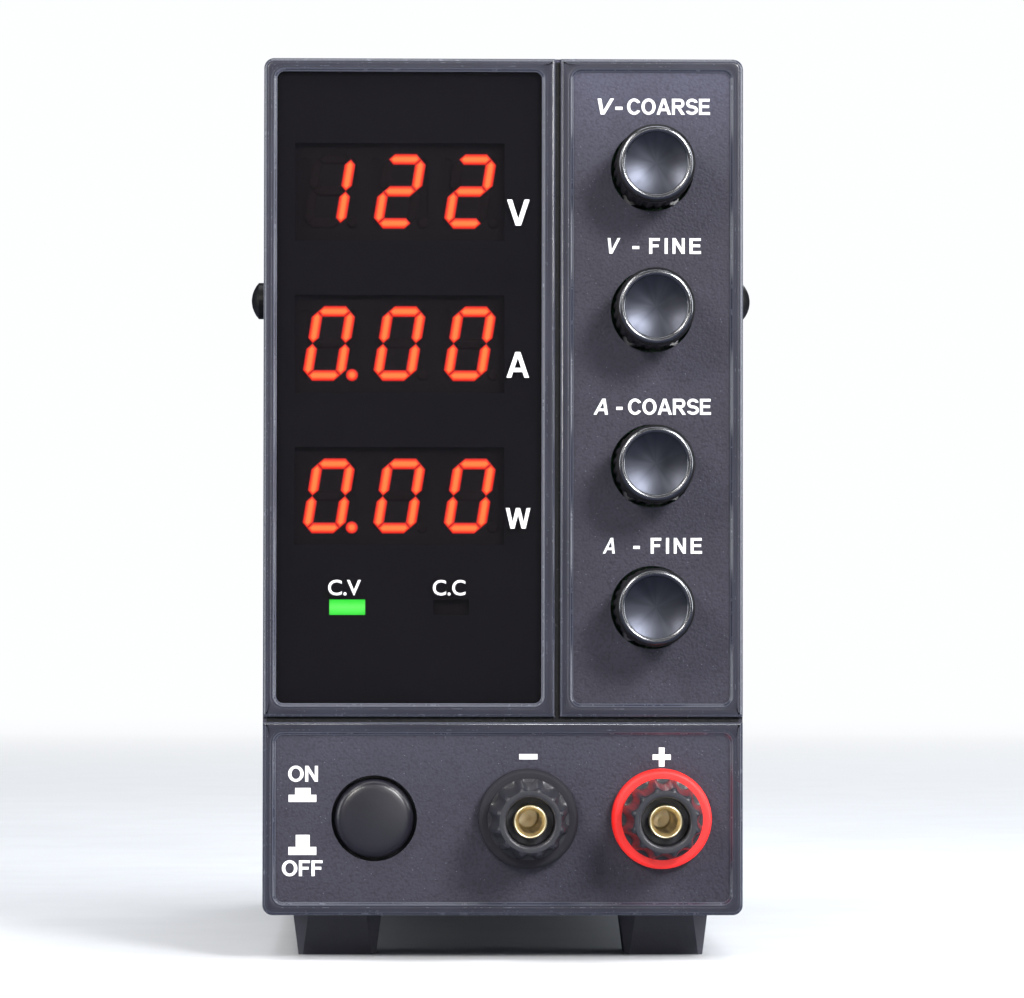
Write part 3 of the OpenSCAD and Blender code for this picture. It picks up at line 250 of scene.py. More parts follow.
# Rounded edges of the rims: a glossier copy of the panel plastic, painted lighter as a painted highlight, with
# brighter specks where the noise peaks as painted glints.
panel_edge_highlight, edge_tree, edge_shader = new_material("panel_edge_highlight")
glint_and_gloss_noise = place_group(edge_tree, mould_grain, Scale=14000.0)["Mottle"]
edge_tree.links.new(blend_colours(edge_tree, between(edge_tree, glint_and_gloss_noise, 0.62, 0.78), colour(48, 50, 62),
                                  colour(104, 106, 124)), edge_shader.inputs["Base Color"])
edge_tree.links.new(between(edge_tree, glint_and_gloss_noise, 0.3, 0.7, 0.2, 0.3), edge_shader.inputs["Roughness"])
edge_shader.inputs["Specular IOR Level"].default_value = 1.0


def join_piece(name, bm, materials, body, smooth=None):
    """Makes a piece from a mesh, gives it its materials and fixes it to a body."""
    bmesh.ops.recalc_face_normals(bm, faces=bm.faces)
    mesh = bpy.data.meshes.new(name)
    bm.to_mesh(mesh)
    bm.free()
    for material in materials:
        mesh.materials.append(material)
    if smooth is not None:
        mesh.shade_smooth()
        mesh.set_sharp_from_angle(angle=math.radians(smooth))
    piece = bpy.data.objects.new(name, mesh)
    bpy.context.scene.collection.objects.link(piece)
    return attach(piece, body)


skin_proud = 0.012
mouth_corner, mouth_edge = 1.3, 1
corner_steps, round_steps = 8, 6
outer_turn, mouth_turn = math.pi / 12, 13


def rim_skin(bm, outer, inner, corners, edges):
    """Adds the rounded skin of a raised frame between its outer edge and its opening, each (x, x, z, z) in
    millimetres. corners and edges hold its corner radii and edge roundings, anticlockwise from the right."""
    rows = []
    hubs = ((1, 3, 1, 1, 0, 1), (0, 3, -1, 1, 1, 2), (0, 2, -1, -1, 2, 3), (1, 2, 1, -1, 3, 0))
    for k, (xi, zi, sx, sz, first, last) in enumerate(hubs):
        for i in range(corner_steps + 1):
            way = i / corner_steps
            turn = math.pi / 2 * (k + way)
            out = Vector((math.cos(turn), math.sin(turn)))
            edge = edges[first] * (1 - way) + edges[last] * way
            rim = Vector((outer[xi] - sx * corners[k], outer[zi] - sz * corners[k])) + out * corners[k]
            mouth = Vector((inner[xi] - sx * mouth_corner, inner[zi] - sz * mouth_corner)) + out * mouth_corner
            row = []
            for j in range(round_steps + 1):
                a = outer_turn * j
                row.append((rim - out * edge * (1 - math.cos(a)), edge * (1 - math.sin(a)) - skin_proud))
            for j in range(round_steps + 1):
                a = math.radians(90 - mouth_turn * j)
                row.append((mouth + out * mouth_edge * (1 - math.cos(a)),
                            mouth_edge * (1 - math.sin(a)) - skin_proud))
            rows.append([bm.verts.new(spot(p.x, d, p.y)) for p, d in row])
    for k in range(len(rows)):
        here, after = rows[k], rows[(k + 1) % len(rows)]
        for j in range(len(here) - 1):
            face = bm.faces.new((here[j], after[j], after[j + 1], here[j + 1]))
            face.material_index = 0 if j == round_steps else 1


panel_half, panel_top, column_floor, post_frame_top = 42, 150, 34.7, 33.7
rims = bmesh.new()
rim_skin(rims, (-panel_half, 9, column_floor, panel_top), (-39.7, 6.7, 37, 147.7),
         (0.4, 1.8, 0.35, 0.35), (0.42, 0.8, 0.8, 0.42))
rim_skin(rims, (10, panel_half, column_floor, panel_top), (12.3, 39.7, 37, 147.7),
         (1.8, 0.4, 0.35, 0.35), (0.8, 0.8, 0.42, 0.42))
rim_skin(rims, (-panel_half, panel_half, 0, post_frame_top), (-39.7, 39.7, 2.3, 31.4),
         (0.35, 0.35, 1.8, 1.8), (0.8, 0.42, 0.8, 0.8))
join_piece("panel_rims", rims, [panel_plastic, panel_edge_highlight], "case", smooth=60)


# Printed words and signs: white ink, screen printed thickly on the panel's fields before anything is fitted.
# Each word or sign lies beside the knob, button or post that it is for.
field_depth, print_thick = 0.8, 0.03
print_white, print_tree, print_shader = new_material("print_white")
print_cover = place_group(print_tree, mould_grain, Scale=2600.0)
print_tree.links.new(blend_colours(print_tree, between(print_tree, print_cover["Mottle"], 0.2, 0.8),
                                   colour(226, 226, 232), colour(250, 250, 252)),
                     print_shader.inputs["Base Color"])
print_shader.inputs["Roughness"].default_value = 0.5
emboss(print_tree, print_shader, print_cover["Height"], 0.3, 0.00002)


def flat_solid(bm, points):
    """Adds an outline, in panel millimetres, as a thin plate on the fields."""
    near = [bm.verts.new(spot(x, field_depth - print_thick, z)) for x, z in points]
    far = [bm.verts.new(spot(x, field_depth, z)) for x, z in points]
    bm.faces.new(near)
    bm.faces.new(list(reversed(far)))
    for i in range(len(points)):
        j = (i + 1) % len(points)
        bm.faces.new((near[j], near[i], far[i], far[j]))


def arc(cx, cz, rx, rz, start, end, steps=14):
    """Points along part of an ellipse, with its ends in degrees."""
    turns = [math.radians(start + (end - start) * i / steps) for i in range(steps + 1)]
    return [(cx + rx * math.cos(t), cz + rz * math.sin(t)) for t in turns]


# Block letters, one high and drawn as plates that meet edge to edge: the width first, then the outlines.
block_letters = {
    "V": (0.94, [[(0, 1), (0.36, 0), (0.58, 0), (0.94, 1), (0.73, 1), (0.47, 0.25), (0.21, 1)]]),
    "A": (1.0, [[(0, 0), (0.21, 0), (0.5, 0.78), (0.79, 0), (1, 0), (0.61, 1), (0.39, 1)],
                [(0.292, 0.22), (0.708, 0.22), (0.649, 0.38), (0.351, 0.38)]]),
    "W": (1.32, [[(0, 1), (0.25, 0), (0.47, 0), (0.66, 0.68), (0.85, 0), (1.07, 0), (1.32, 1), (1.12, 1),
                  (0.96, 0.32), (0.77, 1), (0.55, 1), (0.36, 0.32), (0.2, 1)]]),
    "I": (0.2, [[(0, 0), (0.2, 0), (0.2, 1), (0, 1)]]),
    "F": (0.7, [[(0, 0), (0.2, 0), (0.2, 0.42), (0.62, 0.42), (0.62, 0.59), (0.2, 0.59), (0.2, 0.83),
                 (0.7, 0.83), (0.7, 1), (0, 1)]]),
    "E": (0.76, [[(0, 0), (0.76, 0), (0.76, 0.17), (0.2, 0.17), (0.2, 0.43), (0.7, 0.43), (0.7, 0.6),
                  (0.2, 0.6), (0.2, 0.83), (0.74, 0.83), (0.74, 1), (0, 1)]]),
    "N": (0.8, [[(0, 0), (0.19, 0), (0.19, 0.66), (0.6, 0), (0.8, 0), (0.8, 1), (0.61, 1), (0.61, 0.35),
                 (0.2, 1), (0, 1)]]),
    "O": (0.98, [arc(0.49, 0.5, 0.49, 0.51, -90, 90) + arc(0.49, 0.5, 0.28, 0.34, 90, -90),
                 arc(0.49, 0.5, 0.49, 0.51, 90, 270) + arc(0.49, 0.5, 0.28, 0.34, 270, 90)]),
    "C": (0.93, [arc(0.49, 0.5, 0.49, 0.51, 32, 328, 26) + arc(0.49, 0.5, 0.28, 0.34, 322, 38, 22)]),
    "S": (0.84, [arc(0.42, 0.71, 0.4, 0.3, 12, 270, 18) + arc(0.42, 0.71, 0.2, 0.13, 270, 20, 14),
                 arc(0.42, 0.29, 0.42, 0.29, 90, -168, 18) + arc(0.42, 0.29, 0.21, 0.12, -160, 90, 14)]),
    "R": (0.9, [[(0, 0), (0.2, 0), (0.2, 1), (0, 1)],
                [(0.2, 1)] + arc(0.55, 0.705, 0.31, 0.295, 90, -90) + [(0.2, 0.41), (0.2, 0.58)]
                + arc(0.53, 0.705, 0.13, 0.125, -90, 90) + [(0.2, 0.83)],
                [(0.36, 0.41), (0.66, 0), (0.9, 0), (0.6, 0.41)]]),
}


def block_word(bm, text, left, right, low, high, slant=0.0, gap=0.08):
    """Adds a word in block letters to a mesh, fitted to its printed width and height, in panel millimetres."""
    run = sum(block_letters[c][0] for c in text) + gap * (len(text) - 1)
    tall = high - low
    wide = (right - left - slant * tall) / run
    at = 0.0
    for c in text:
        for outline in block_letters[c][1]:
            flat_solid(bm, [(left + (at + x) * wide + slant * z * tall, low + z * tall) for x, z in outline])
        at += block_letters[c][0] + gap


def bar(bm, x, z):
    """Adds a printed bar to a mesh, from its ends in x and in z."""
    flat_solid(bm, [(x[0], z[0]), (x[1], z[0]), (x[1], z[1]), (x[0], z[1])])


marks = bmesh.new()
for first, dash, word, low, high, gap in (
        (("V", 15.9, 19.35), (19.6, 20.85), ("COARSE", 21.65, 36.2), 140.3, 143.1, 0.07),
        (("V", 17.7, 20.5), (22.6, 23.8), ("FINE", 25.55, 34.65), 115.85, 118.6, 0.32),
        (("A", 15.8, 18.9), (19.8, 20.9), ("COARSE", 21.85, 36.4), 87.6, 90.4, 0.07),
        (("A", 17.45, 20.1), (22.8, 23.95), ("FINE", 25.85, 34.85), 63.25, 66.0, 0.32)):
    block_word(marks, *first, low, high, slant=0.2)
    bar(marks, dash, (low + 0.3 * (high - low), low + 0.49 * (high - low)))
    block_word(marks, *word, low, high, gap=gap)
join_piece("knob_words", marks, [print_white], "case")

marks = bmesh.new()
block_word(marks, "ON", -37.55, -32.35, 23.3, 26.05, gap=0.1)
block_word(marks, "OFF", -38.6, -31.5, 6.8, 9.55, gap=0.1)
for x_ends, z_ends in (((-37.46, -32.6), (19.75, 21.0)), ((-36.32, -33.6), (21.0, 22.2)),
                       ((-37.46, -32.6), (10.5, 11.9)), ((-36.19, -33.75), (11.9, 14.0)),
                       ((2.85, 6.05), (27.2, 28.15)), ((26.2, 29.4), (27.15, 28.1)),
                       ((27.3, 28.3), (25.95, 27.15)), ((27.3, 28.3), (28.1, 29.3))):
    bar(marks, x_ends, z_ends)
join_piece("terminal_and_button_marks", marks, [print_white], "case")


# Display window: smoked acrylic, glued on a ledge of the panel. A dark print behind it leaves clear places in
# front of the displays, and its words are printed on the front.
acrylic, acrylic_tree, acrylic_shader = new_material("smoked_acrylic")
acrylic_touch = place_group(acrylic_tree, handling, Scale=35.0, Spread=0.4)
acrylic_tree.links.new(blend_colours(acrylic_tree, acrylic_touch["Speck"], colour(11, 10, 14),
                                     colour(60, 60, 68)), acrylic_shader.inputs["Base Color"])
acrylic_tree.links.new(between(acrylic_tree, acrylic_touch["Smudge"], 0.0, 1.0, 0.05, 0.11),
                       acrylic_shader.inputs["Roughness"])
backside = wire(acrylic_tree, "ShaderNodeNewGeometry").outputs["Backfacing"]
acrylic_tree.links.new(between(acrylic_tree, backside, 0.0, 1.0, 0.5, 0.0), acrylic_shader.inputs["Alpha"])
acrylic_shader.inputs["IOR"].default_value = 1.49
dress(acrylic, "display_window")

border_depth, border_thick = 2.28, 0.00002
row_heights, lamp_places = (126.7, 100.0, 73.3), (-27.3, -9.1)
border_ink = moulded("border_ink", colour(13, 11, 15), roughness=0.6, grain=2600.0, strength=0.1,
                     specular=0.05)
clear_places = [((-36.6, 0.2), (z - 8.6, z + 8.6)) for z in row_heights]
clear_places += [((x - 3.15, x + 3.15), (52.45, 55.15)) for x in lamp_places]
x_cuts = sorted({-39.65, 6.65} | {x for place in clear_places for x in place[0]})
z_cuts = sorted({37.05, 147.65} | {z for place in clear_places for z in place[1]})
border = bmesh.new()
corners = {(x, z): border.verts.new(spot(x, border_depth, z)) for x in x_cuts for z in z_cuts}
for x, x_next in zip(x_cuts, x_cuts[1:]):
    for z, z_next in zip(z_cuts, z_cuts[1:]):
        middle = ((x + x_next) / 2, (z + z_next) / 2)
        if not any(xs[0] < middle[0] < xs[1] and zs[0] < middle[1] < zs[1] for xs, zs in clear_places):
            border.faces.new((corners[x, z], corners[x_next, z], corners[x_next, z_next], corners[x, z_next]))
bmesh.ops.delete(border, geom=[v for v in border.verts if not v.link_faces], context="VERTS")
bmesh.ops.recalc_face_normals(border, faces=border.faces)
bmesh.ops.solidify(border, geom=border.faces[:], thickness=border_thick)
join_piece("window_border_print", border, [border_ink], "case")


def thin_word(bm, text, left, right, low, high):
    """Adds a word in a thinner face to a mesh, fitted to its printed width and height, in panel millimetres."""
    curve = bpy.data.curves.new("word", "FONT")
    curve.body = text
    curve.offset = 0.012
    curve.resolution_u = 4
    holder = bpy.data.objects.new("word", curve)
    bpy.context.scene.collection.objects.link(holder)
    drawn = bpy.data.meshes.new_from_object(holder.evaluated_get(bpy.context.evaluated_depsgraph_get()))
    xs = [v.co.x for v in drawn.vertices]
    ys = [v.co.y for v in drawn.vertices]
    wide, tall = (right - left) / (max(xs) - min(xs)), (high - low) / (max(ys) - min(ys))
    for v in drawn.vertices:
        v.co = spot(left + (v.co.x - min(xs)) * wide, field_depth - print_thick,
                    low + (v.co.y - min(ys)) * tall)
    start = len(bm.faces)
    bm.from_mesh(drawn)
    bm.faces.ensure_lookup_table()
    bmesh.ops.solidify(bm, geom=bm.faces[start:], thickness=-0.00002)
    bpy.data.objects.remove(holder)
    bpy.data.meshes.remove(drawn)
    bpy.data.curves.remove(curve)


marks = bmesh.new()
block_word(marks, "V", 0.6, 4.55, 120.75, 125.3)
block_word(marks, "A", 0.55, 4.5, 94.05, 98.55)
block_word(marks, "W", 0.45, 4.75, 67.6, 71.2)
thin_word(marks, "C.V", -30.64, -24.9, 55.84, 58.59)
thin_word(marks, "C.C", -12.31, -6.6, 55.84, 58.59)
join_piece("window_words", marks, [print_white], "case")


# Three-digit displays: black potted modules with red seven-segment figures behind a frosted face. The
# segments glow orange in the middle and red at their edges, and the ones that are off show as dull bars.
module_black = moulded("display_black", colour(25, 19, 23), roughness=0.6, grain=2200.0, strength=0.15,
                       specular=0.15)
dress(module_black, "voltage_display", "current_display", "power_display")

segment_lit, lit_tree, lit_shader = new_material("segment_lit")
glow = wire(lit_tree, "ShaderNodeAttribute", attribute_name="glow").outputs["Fac"]
lit_ramp = wire(lit_tree, "ShaderNodeValToRGB", {"Fac": glow})
lit_ramp.color_ramp.elements[0].color = (0.09, 0.001, 0.001, 1)
lit_ramp.color_ramp.elements[1].color = (1.0, 0.2, 0.042, 1)
lit_ramp.color_ramp.elements.new(0.22).color = (0.66, 0.007, 0.005, 1)
lit_ramp.color_ramp.elements.new(0.5).color = (0.96, 0.045, 0.013, 1)
lit_tree.links.new(lit_ramp.outputs[0], lit_shader.inputs["Emission Color"])
lit_shader.inputs["Emission Strength"].default_value = 2.3
lit_shader.inputs["Base Color"].default_value = colour(60, 10, 8)
lit_shader.inputs["Roughness"].default_value = 0.6
segment_off = moulded("segment_off", colour(26, 17, 19), roughness=0.6, grain=3000.0, strength=0.1,
                      specular=0.15)

digit_tall, digit_wide, stroke, segment_gap = 13.0, 7.45, 1.72, 0.11
lean = math.tan(math.radians(9.3))
digit_middle, digit_pitch, module_face = -18.22, 12.38, 4.2
dot_aside, dot_below, dot_sides = 4.05, 5.55, 20
top, side = (digit_tall - stroke) / 2, (digit_wide - stroke) / 2
segment_ends = {"a": ((-side, top), (side, top)), "b": ((side, 0), (side, top)),
                "c": ((side, -top), (side, 0)), "d": ((-side, -top), (side, -top)),
                "e": ((-side, -top), (-side, 0)), "f": ((-side, 0), (-side, top)),
                "g": ((-side, 0), (side, 0))}
figures = {"0": "abcdef", "1": "bc", "2": "abged"}


def glowing_solid(bm, layer, rings, lit):
    """Adds a small raised solid from rings of (x, z) points, each with how far it stands out and its glow."""
    made = []
    for points, out, heat in rings:
        verts = [bm.verts.new(spot(x, module_face - out, z)) for x, z in points]
        for v in verts:
            v[layer] = heat
        made.append(verts)
    walls = [(near[i], near[(i + 1) % len(near)], far[(i + 1) % len(near)], far[i])
             for near, far in zip(made[1:], made) for i in range(len(near))]
    for corners in walls + [made[-1], made[0]]:
        bm.faces.new(corners).material_index = 0 if lit else 1


def segment(bm, layer, start, end, centre, lit):
    """Adds one bar of a figure, with pointed ends and a brighter middle."""
    along = (Vector(end) - Vector(start)).normalized()
    across = Vector((-along.y, along.x))
    rings = []
    for shrink, out, heat in ((1.16, 0.0, 0.0), (1.16, 0.02, 0.0), (0.97, 0.05, 0.22), (0.72, 0.17, 0.5),
                              (0.25, 0.2, 1.0)):
        half = stroke / 2 * shrink
        trim = segment_gap + stroke / 2 * (1 - shrink)
        ring = []
        for point, sign in ((Vector(start), 1), (Vector(end), -1)):
            tip = point + along * sign * trim
            neck = point + along * sign * (segment_gap + stroke / 2)
            ring += [neck + across * half * sign, tip, neck - across * half * sign]
        rings.append(([(centre[0] + p.x + p.y * lean, centre[1] + p.y) for p in ring], out, heat))
    glowing_solid(bm, layer, rings, lit)


def decimal_point(bm, layer, centre, lit):
    """Adds the round dot at the foot of a figure."""
    rings = []
    for radius, out, heat in ((1.12, 0.0, 0.0), (1.12, 0.02, 0.0), (0.96, 0.05, 0.22), (0.72, 0.17, 0.5),
                              (0.3, 0.2, 1.0)):
        turns = [math.tau * i / dot_sides for i in range(dot_sides)]
        rings.append(([(centre[0] + radius * math.cos(turn), centre[1] + radius * math.sin(turn))
                       for turn in turns], out, heat))
    glowing_solid(bm, layer, rings, lit)


for name, row, reading, dot in (("voltage_figures", 126.95, "122", None), ("current_figures", 100.15, "000", 0),
                                ("power_figures", 73.35, "000", 0)):
    digits = bmesh.new()
    heat_layer = digits.verts.layers.float.new("glow")
    for place, figure in enumerate(reading):
        middle = (digit_middle + (place - 1) * digit_pitch, row)
        for key, ends in segment_ends.items():
            segment(digits, heat_layer, *ends, middle, key in figures[figure])
        decimal_point(digits, heat_layer, (middle[0] + dot_aside, row - dot_below), dot == place)
    join_piece(name, digits, [segment_lit, segment_off], "case")


# Indicator bars: blocks of diffused plastic cast round a diode and pushed through the board. The green one is
# lit, brightest along its middle, and the other one is off.
green_lit, green_tree, green_shader = new_material("green_led")
green_place = wire(green_tree, "ShaderNodeTexCoord").outputs["Generated"]
green_height = wire(green_tree, "ShaderNodeSeparateXYZ", {0: green_place}).outputs[2]
off_middle = maths(green_tree, "ABSOLUTE", maths(green_tree, "SUBTRACT", green_height, 0.5))
green_ramp = wire(green_tree, "ShaderNodeValToRGB", {"Fac": off_middle})
green_ramp.color_ramp.elements[0].color = (0.14, 1.0, 0.13, 1)
green_ramp.color_ramp.elements[1].position = 0.5
green_ramp.color_ramp.elements[1].color = (0.03, 0.75, 0.04, 1)
green_tree.links.new(green_ramp.outputs[0], green_shader.inputs["Emission Color"])
green_shader.inputs["Emission Strength"].default_value = 2.1
green_shader.inputs["Base Color"].default_value = colour(20, 90, 30)
dress(green_lit, "constant_voltage_led")
dress(moulded("led_off", colour(26, 20, 23), roughness=0.6, grain=2500.0, strength=0.1, specular=0.15),
      "constant_current_led")


# Knobs: black ABS skirts with 24 fine grips, pushed on steel shafts. A turned and dished metal face with a
# polished round rim is pressed into the end of each.
def lathe(bm, profile, x, z, steps=96, wave=None, material_of=None):
    """Turns a profile of (radius, depth) round an axis that runs into the panel at x, z, in millimetres."""
    uv = bm.loops.layers.uv.verify()
    rings = []
    for radius, d in profile:
        if radius < 1e-6:
            rings.append([bm.verts.new(spot(x, d, z))])
            continue
        ring = []
        for i in range(steps):
            turn = math.tau * i / steps
            r = radius - (wave(turn, d, radius) if wave else 0.0)
            ring.append(bm.verts.new(spot(x + r * math.sin(turn), d, z + r * math.cos(turn))))
        rings.append(ring)
    along = 0.0
    for k in range(len(profile) - 1):
        a, b = rings[k], rings[k + 1]
        step = math.dist(profile[k], profile[k + 1])
        for i in range(steps):
            j = (i + 1) % steps
            if len(a) == 1:
                corners, us, vs = (a[0], b[j], b[i]), (i, i + 1, i), (0, step, step)
            elif len(b) == 1:
                corners, us, vs = (a[i], a[j], b[0]), (i, i + 1, i), (0, 0, step)
            else:
                corners, us, vs = (a[i], a[j], b[j], b[i]), (i, i + 1, i + 1, i), (0, 0, step, step)
            face = bm.faces.new(corners)
            face.material_index = material_of(k) if material_of else 0
            for loop, u, v in zip(face.loops, us, vs):
                loop[uv].uv = (u / steps, (along + v) * 0.1)
        along += step


def soften(points, radius, steps=4):
    """Profile whose inner corners are rounded off."""
    made = [points[0]]
    for before, corner, after in zip(points, points[1:], points[2:]):
        p, c, q = Vector(before), Vector(corner), Vector(after)
        reach = min(radius, (p - c).length * 0.45, (q - c).length * 0.45)
        first, last = c + (p - c).normalized() * reach, c + (q - c).normalized() * reach
        for i in range(steps + 1):
            t = i / steps
            made.append(tuple(first * (1 - t) ** 2 + c * 2 * t * (1 - t) + last * t * t))
    return made + [points[-1]]


def cut_round(turn, count, radius, cutter, clear):
    """Depth of even grooves about an axis, cut by a round cutter whose own axis stands clear of the surface."""
    pitch = math.tau / count
    aside = ((turn + pitch / 2) % pitch - pitch / 2) * radius
    return max(0.0, math.sqrt(max(0.0, cutter * cutter - aside * aside)) - clear)


# turned_rings: the fine rings that a lathe leaves, and broad streaks that run out from the middle.
turned_rings, rings_in, rings_out = effect_group("turned_rings", {"Scale": 40.0}, ("Height", "Streak"))
rings_u, rings_v, _ = wire(turned_rings, "ShaderNodeSeparateXYZ",
                           {0: wire(turned_rings, "ShaderNodeTexCoord").outputs["UV"]}).outputs
rings_noise = wire(turned_rings, "ShaderNodeTexNoise",
                   {"W": maths(turned_rings, "MULTIPLY", rings_v, rings_in["Scale"]), "Scale": 1.0,
                    "Detail": 4.0, "Roughness": 0.7}, noise_dimensions="1D")
turned_rings.links.new(rings_noise.outputs[0], rings_out["Height"])
rings_streak = wire(turned_rings, "ShaderNodeTexNoise",
                    {"W": maths(turned_rings, "MULTIPLY", rings_u, 9.0), "Scale": 1.0, "Detail": 2.0},
                    noise_dimensions="1D")
turned_rings.links.new(rings_streak.outputs[0], rings_out["Streak"])


def turned_metal(name, base, lighter, roughness, rings=60.0, depth=0.000012):
    """Metal with the marks of a lathe and of fingers."""
    material, tree, shader = new_material(name)
    tool_marks = place_group(tree, turned_rings, Scale=rings)
    touch = place_group(tree, handling, Scale=300.0)
    tree.links.new(blend_colours(tree, between(tree, tool_marks["Streak"], 0.3, 0.7), base, lighter),
                   shader.inputs["Base Color"])
    tree.links.new(between(tree, touch["Smudge"], 0.0, 1.0, roughness, roughness * 1.25),
                   shader.inputs["Roughness"])
    shader.inputs["Metallic"].default_value = 1.0
    emboss(tree, shader, tool_marks["Height"], 0.4, depth)
    return material


knob_black = moulded("knob_black", colour(19, 19, 22), roughness=0.5, grain=2400.0, strength=0.25,
                     specular=0.2)
dish_metal = turned_metal("dish_metal", colour(57, 59, 67), colour(68, 70, 78), 0.31, depth=0.000004)
rim_metal = turned_metal("rim_metal", colour(112, 113, 117), colour(120, 121, 125), 0.2, rings=20.0,
                         depth=0.000003)
knob_x = 26.1
dish_radius, dish_middle, dish_hollow, dish_steps = 5.35, -12.9, 0.76, 16
rim_radius, rim_depth, rim_wide, rim_deep = 5.9, -13.55, 0.55, 0.45
skirt_radius, grip_count, grip_start, grip_fade = 6.8, 24, -12.0, 0.3
dish_radii = [dish_radius * i / dish_steps for i in range(dish_steps + 1)]
dish = [(r, dish_middle - dish_hollow * (r / dish_radius) ** 2) for r in dish_radii]
rim = [(rim_radius - rim_wide * math.cos(a), rim_depth - rim_deep * math.sin(a))
       for a in [math.radians(15 + 14 * i) for i in range(11)]]
skirt = soften([(6.4, -13.5), (6.5, -13.55), (6.8, -13.1), (6.8, -11.9), (6.8, -11.6), (6.8, 1.3), (6.6, 1.6),
                (4.5, 1.6), (4.5, -0.6), (3.03, -0.6), (3.03, -9.45), (0.0, -9.45)], 0.15, 2)
dish_end = len(dish) - 1
rim_end = dish_end + len(rim) - 1


def grips(turn, d, radius):
    """Depth of the grips cut along the skirt."""
    if radius < 6.0 or d < grip_start:
        return 0.0
    cut = cut_round(turn, grip_count, skirt_radius, cutter=0.6, clear=0.3)
    return cut * min(1.0, (d - grip_start) / grip_fade)


for knob, height in (("voltage_coarse_knob", 130.6), ("voltage_fine_knob", 105.8),
                     ("current_coarse_knob", 78.6), ("current_fine_knob", 53.8)):
    turning = bmesh.new()
    lathe(turning, dish + rim[1:] + skirt[1:], knob_x, height, steps=240, wave=grips,
          material_of=lambda k: (k >= dish_end) + (k >= rim_end))
    piece = join_piece(knob + "_turned", turning, [dish_metal, rim_metal, knob_black], knob, smooth=40)
    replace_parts(piece, knob)
dress(turned_metal("shaft_metal", colour(176, 176, 172), colour(200, 200, 196), 0.3),
      "voltage_coarse_shaft", "voltage_fine_shaft", "current_coarse_shaft", "current_fine_shaft")


# Power button: a round satin cap with a slightly domed face and a rounded edge, latched in. It is pushed on a
# white plunger that works the mains switch behind.
post_z, button_x = 16.9, -22.5
button_face, face_dome, face_steps, edge_wide, edge_deep = 5.3, 0.22 / 28.1, 14, 1.55, 1.5
button_black = moulded("button_black", colour(23, 22, 30), roughness=0.29, grain=2300.0, strength=0.15,
                       specular=0.6)
face_radii = [button_face * i / face_steps for i in range(face_steps)]
cap = [(r, -1.0 + face_dome * r ** 2) for r in face_radii]
cap += [(button_face + edge_wide * math.sin(a), 0.72 - edge_deep * math.cos(a))
        for a in [math.radians(15 + 7.5 * i) for i in range(11)]]
turning = bmesh.new()
lathe(turning, cap + [(6.85, 7.5), (8.2, 7.5), (8.2, 8.9), (0.0, 8.9)], button_x, post_z, steps=128)
piece = join_piece("power_button_cap", turning, [button_black], "power_button", smooth=50)
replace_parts(piece, "power_button")
dress(moulded("white_plastic", colour(222, 222, 214), roughness=0.4, grain=2000.0, strength=0.1),
      "switch_plunger")


# Binding posts: collars of coloured nylon clamped in the panel, turned brass sockets through them with a
# bore for a banana plug, and black caps with twelve deep flutes that screw along the sockets.
post_black = moulded("post_black", colour(38, 38, 44), roughness=0.3, grain=2000.0, strength=0.3)
base_black = moulded("base_black", colour(32, 31, 38), roughness=0.6, grain=2000.0, strength=0.25,
                     specular=0.25)
base_red = moulded("base_red", colour(234, 31, 28), roughness=0.42, grain=2000.0, strength=0.15, lift=1.1)
brass = turned_metal("socket_brass", colour(246, 226, 178), colour(252, 238, 200), 0.3, rings=12.0,
                     depth=0.000002)
# The bore has a paler copy of the brass: painted light in the deep bore, which lies in shade.
pale_painted_bore_brass = turned_metal("pale_painted_bore_brass", colour(255, 239, 206), colour(255, 246, 224), 0.34, rings=12.0,
                          depth=0.000001)
collar = soften([(2.96, -0.8), (4.9, -0.8), (4.9, -2.4), (8.2, -2.4), (8.75, -1.85), (8.75, 0.79), (6.0, 0.79),
                 (6.0, 3.19), (2.96, 3.19), (2.96, -0.8)], 0.3)
grip = soften([(3.01, -12.5), (4.2, -12.5), (4.2, -16.6), (4.5, -17.0), (5.5, -17.0), (6.05, -16.3),
               (7.05, -4.6), (7.08, -4.2), (7.1, -2.75), (6.2, -2.7), (6.2, -3.75), (3.01, -3.75),
               (3.01, -12.5)], 0.3)
stem = [(0.0, 16.0), (2.5, 16.0), (2.95, 15.6), (2.95, -0.8), (4.8, -0.8), (4.8, -2.35), (2.95, -2.35)]
lip_and_bore = soften([(2.95, -2.4), (2.95, -15.9), (2.85, -16.12), (2.7, -16.2), (2.56, -16.14),
                       (2.42, -15.96), (2.0, -15.35), (2.0, -13.2), (2.12, -13.05), (2.12, -12.6),
                       (2.0, -12.4), (2.0, 5.5), (1.7, 5.8), (0.6, 5.8), (0.3, 5.74)], 0.1, 3)
bore_start = 33
flute_count, flute_end = 12, -4.2


def flutes(turn, d, radius):
    """Depth of the flutes cut along the cap."""
    if radius < 5.4 or d > flute_end:
        return 0.0
    return cut_round(turn, flute_count, radius, cutter=1.5, clear=0.82)


def hexagon(turn, d, radius):
    """Depth of the flats on the stem's collar."""
    if radius < 4.0:
        return 0.0
    return radius * (1 - math.cos(math.pi / 6) / math.cos(turn % (math.pi / 3) - math.pi / 6))


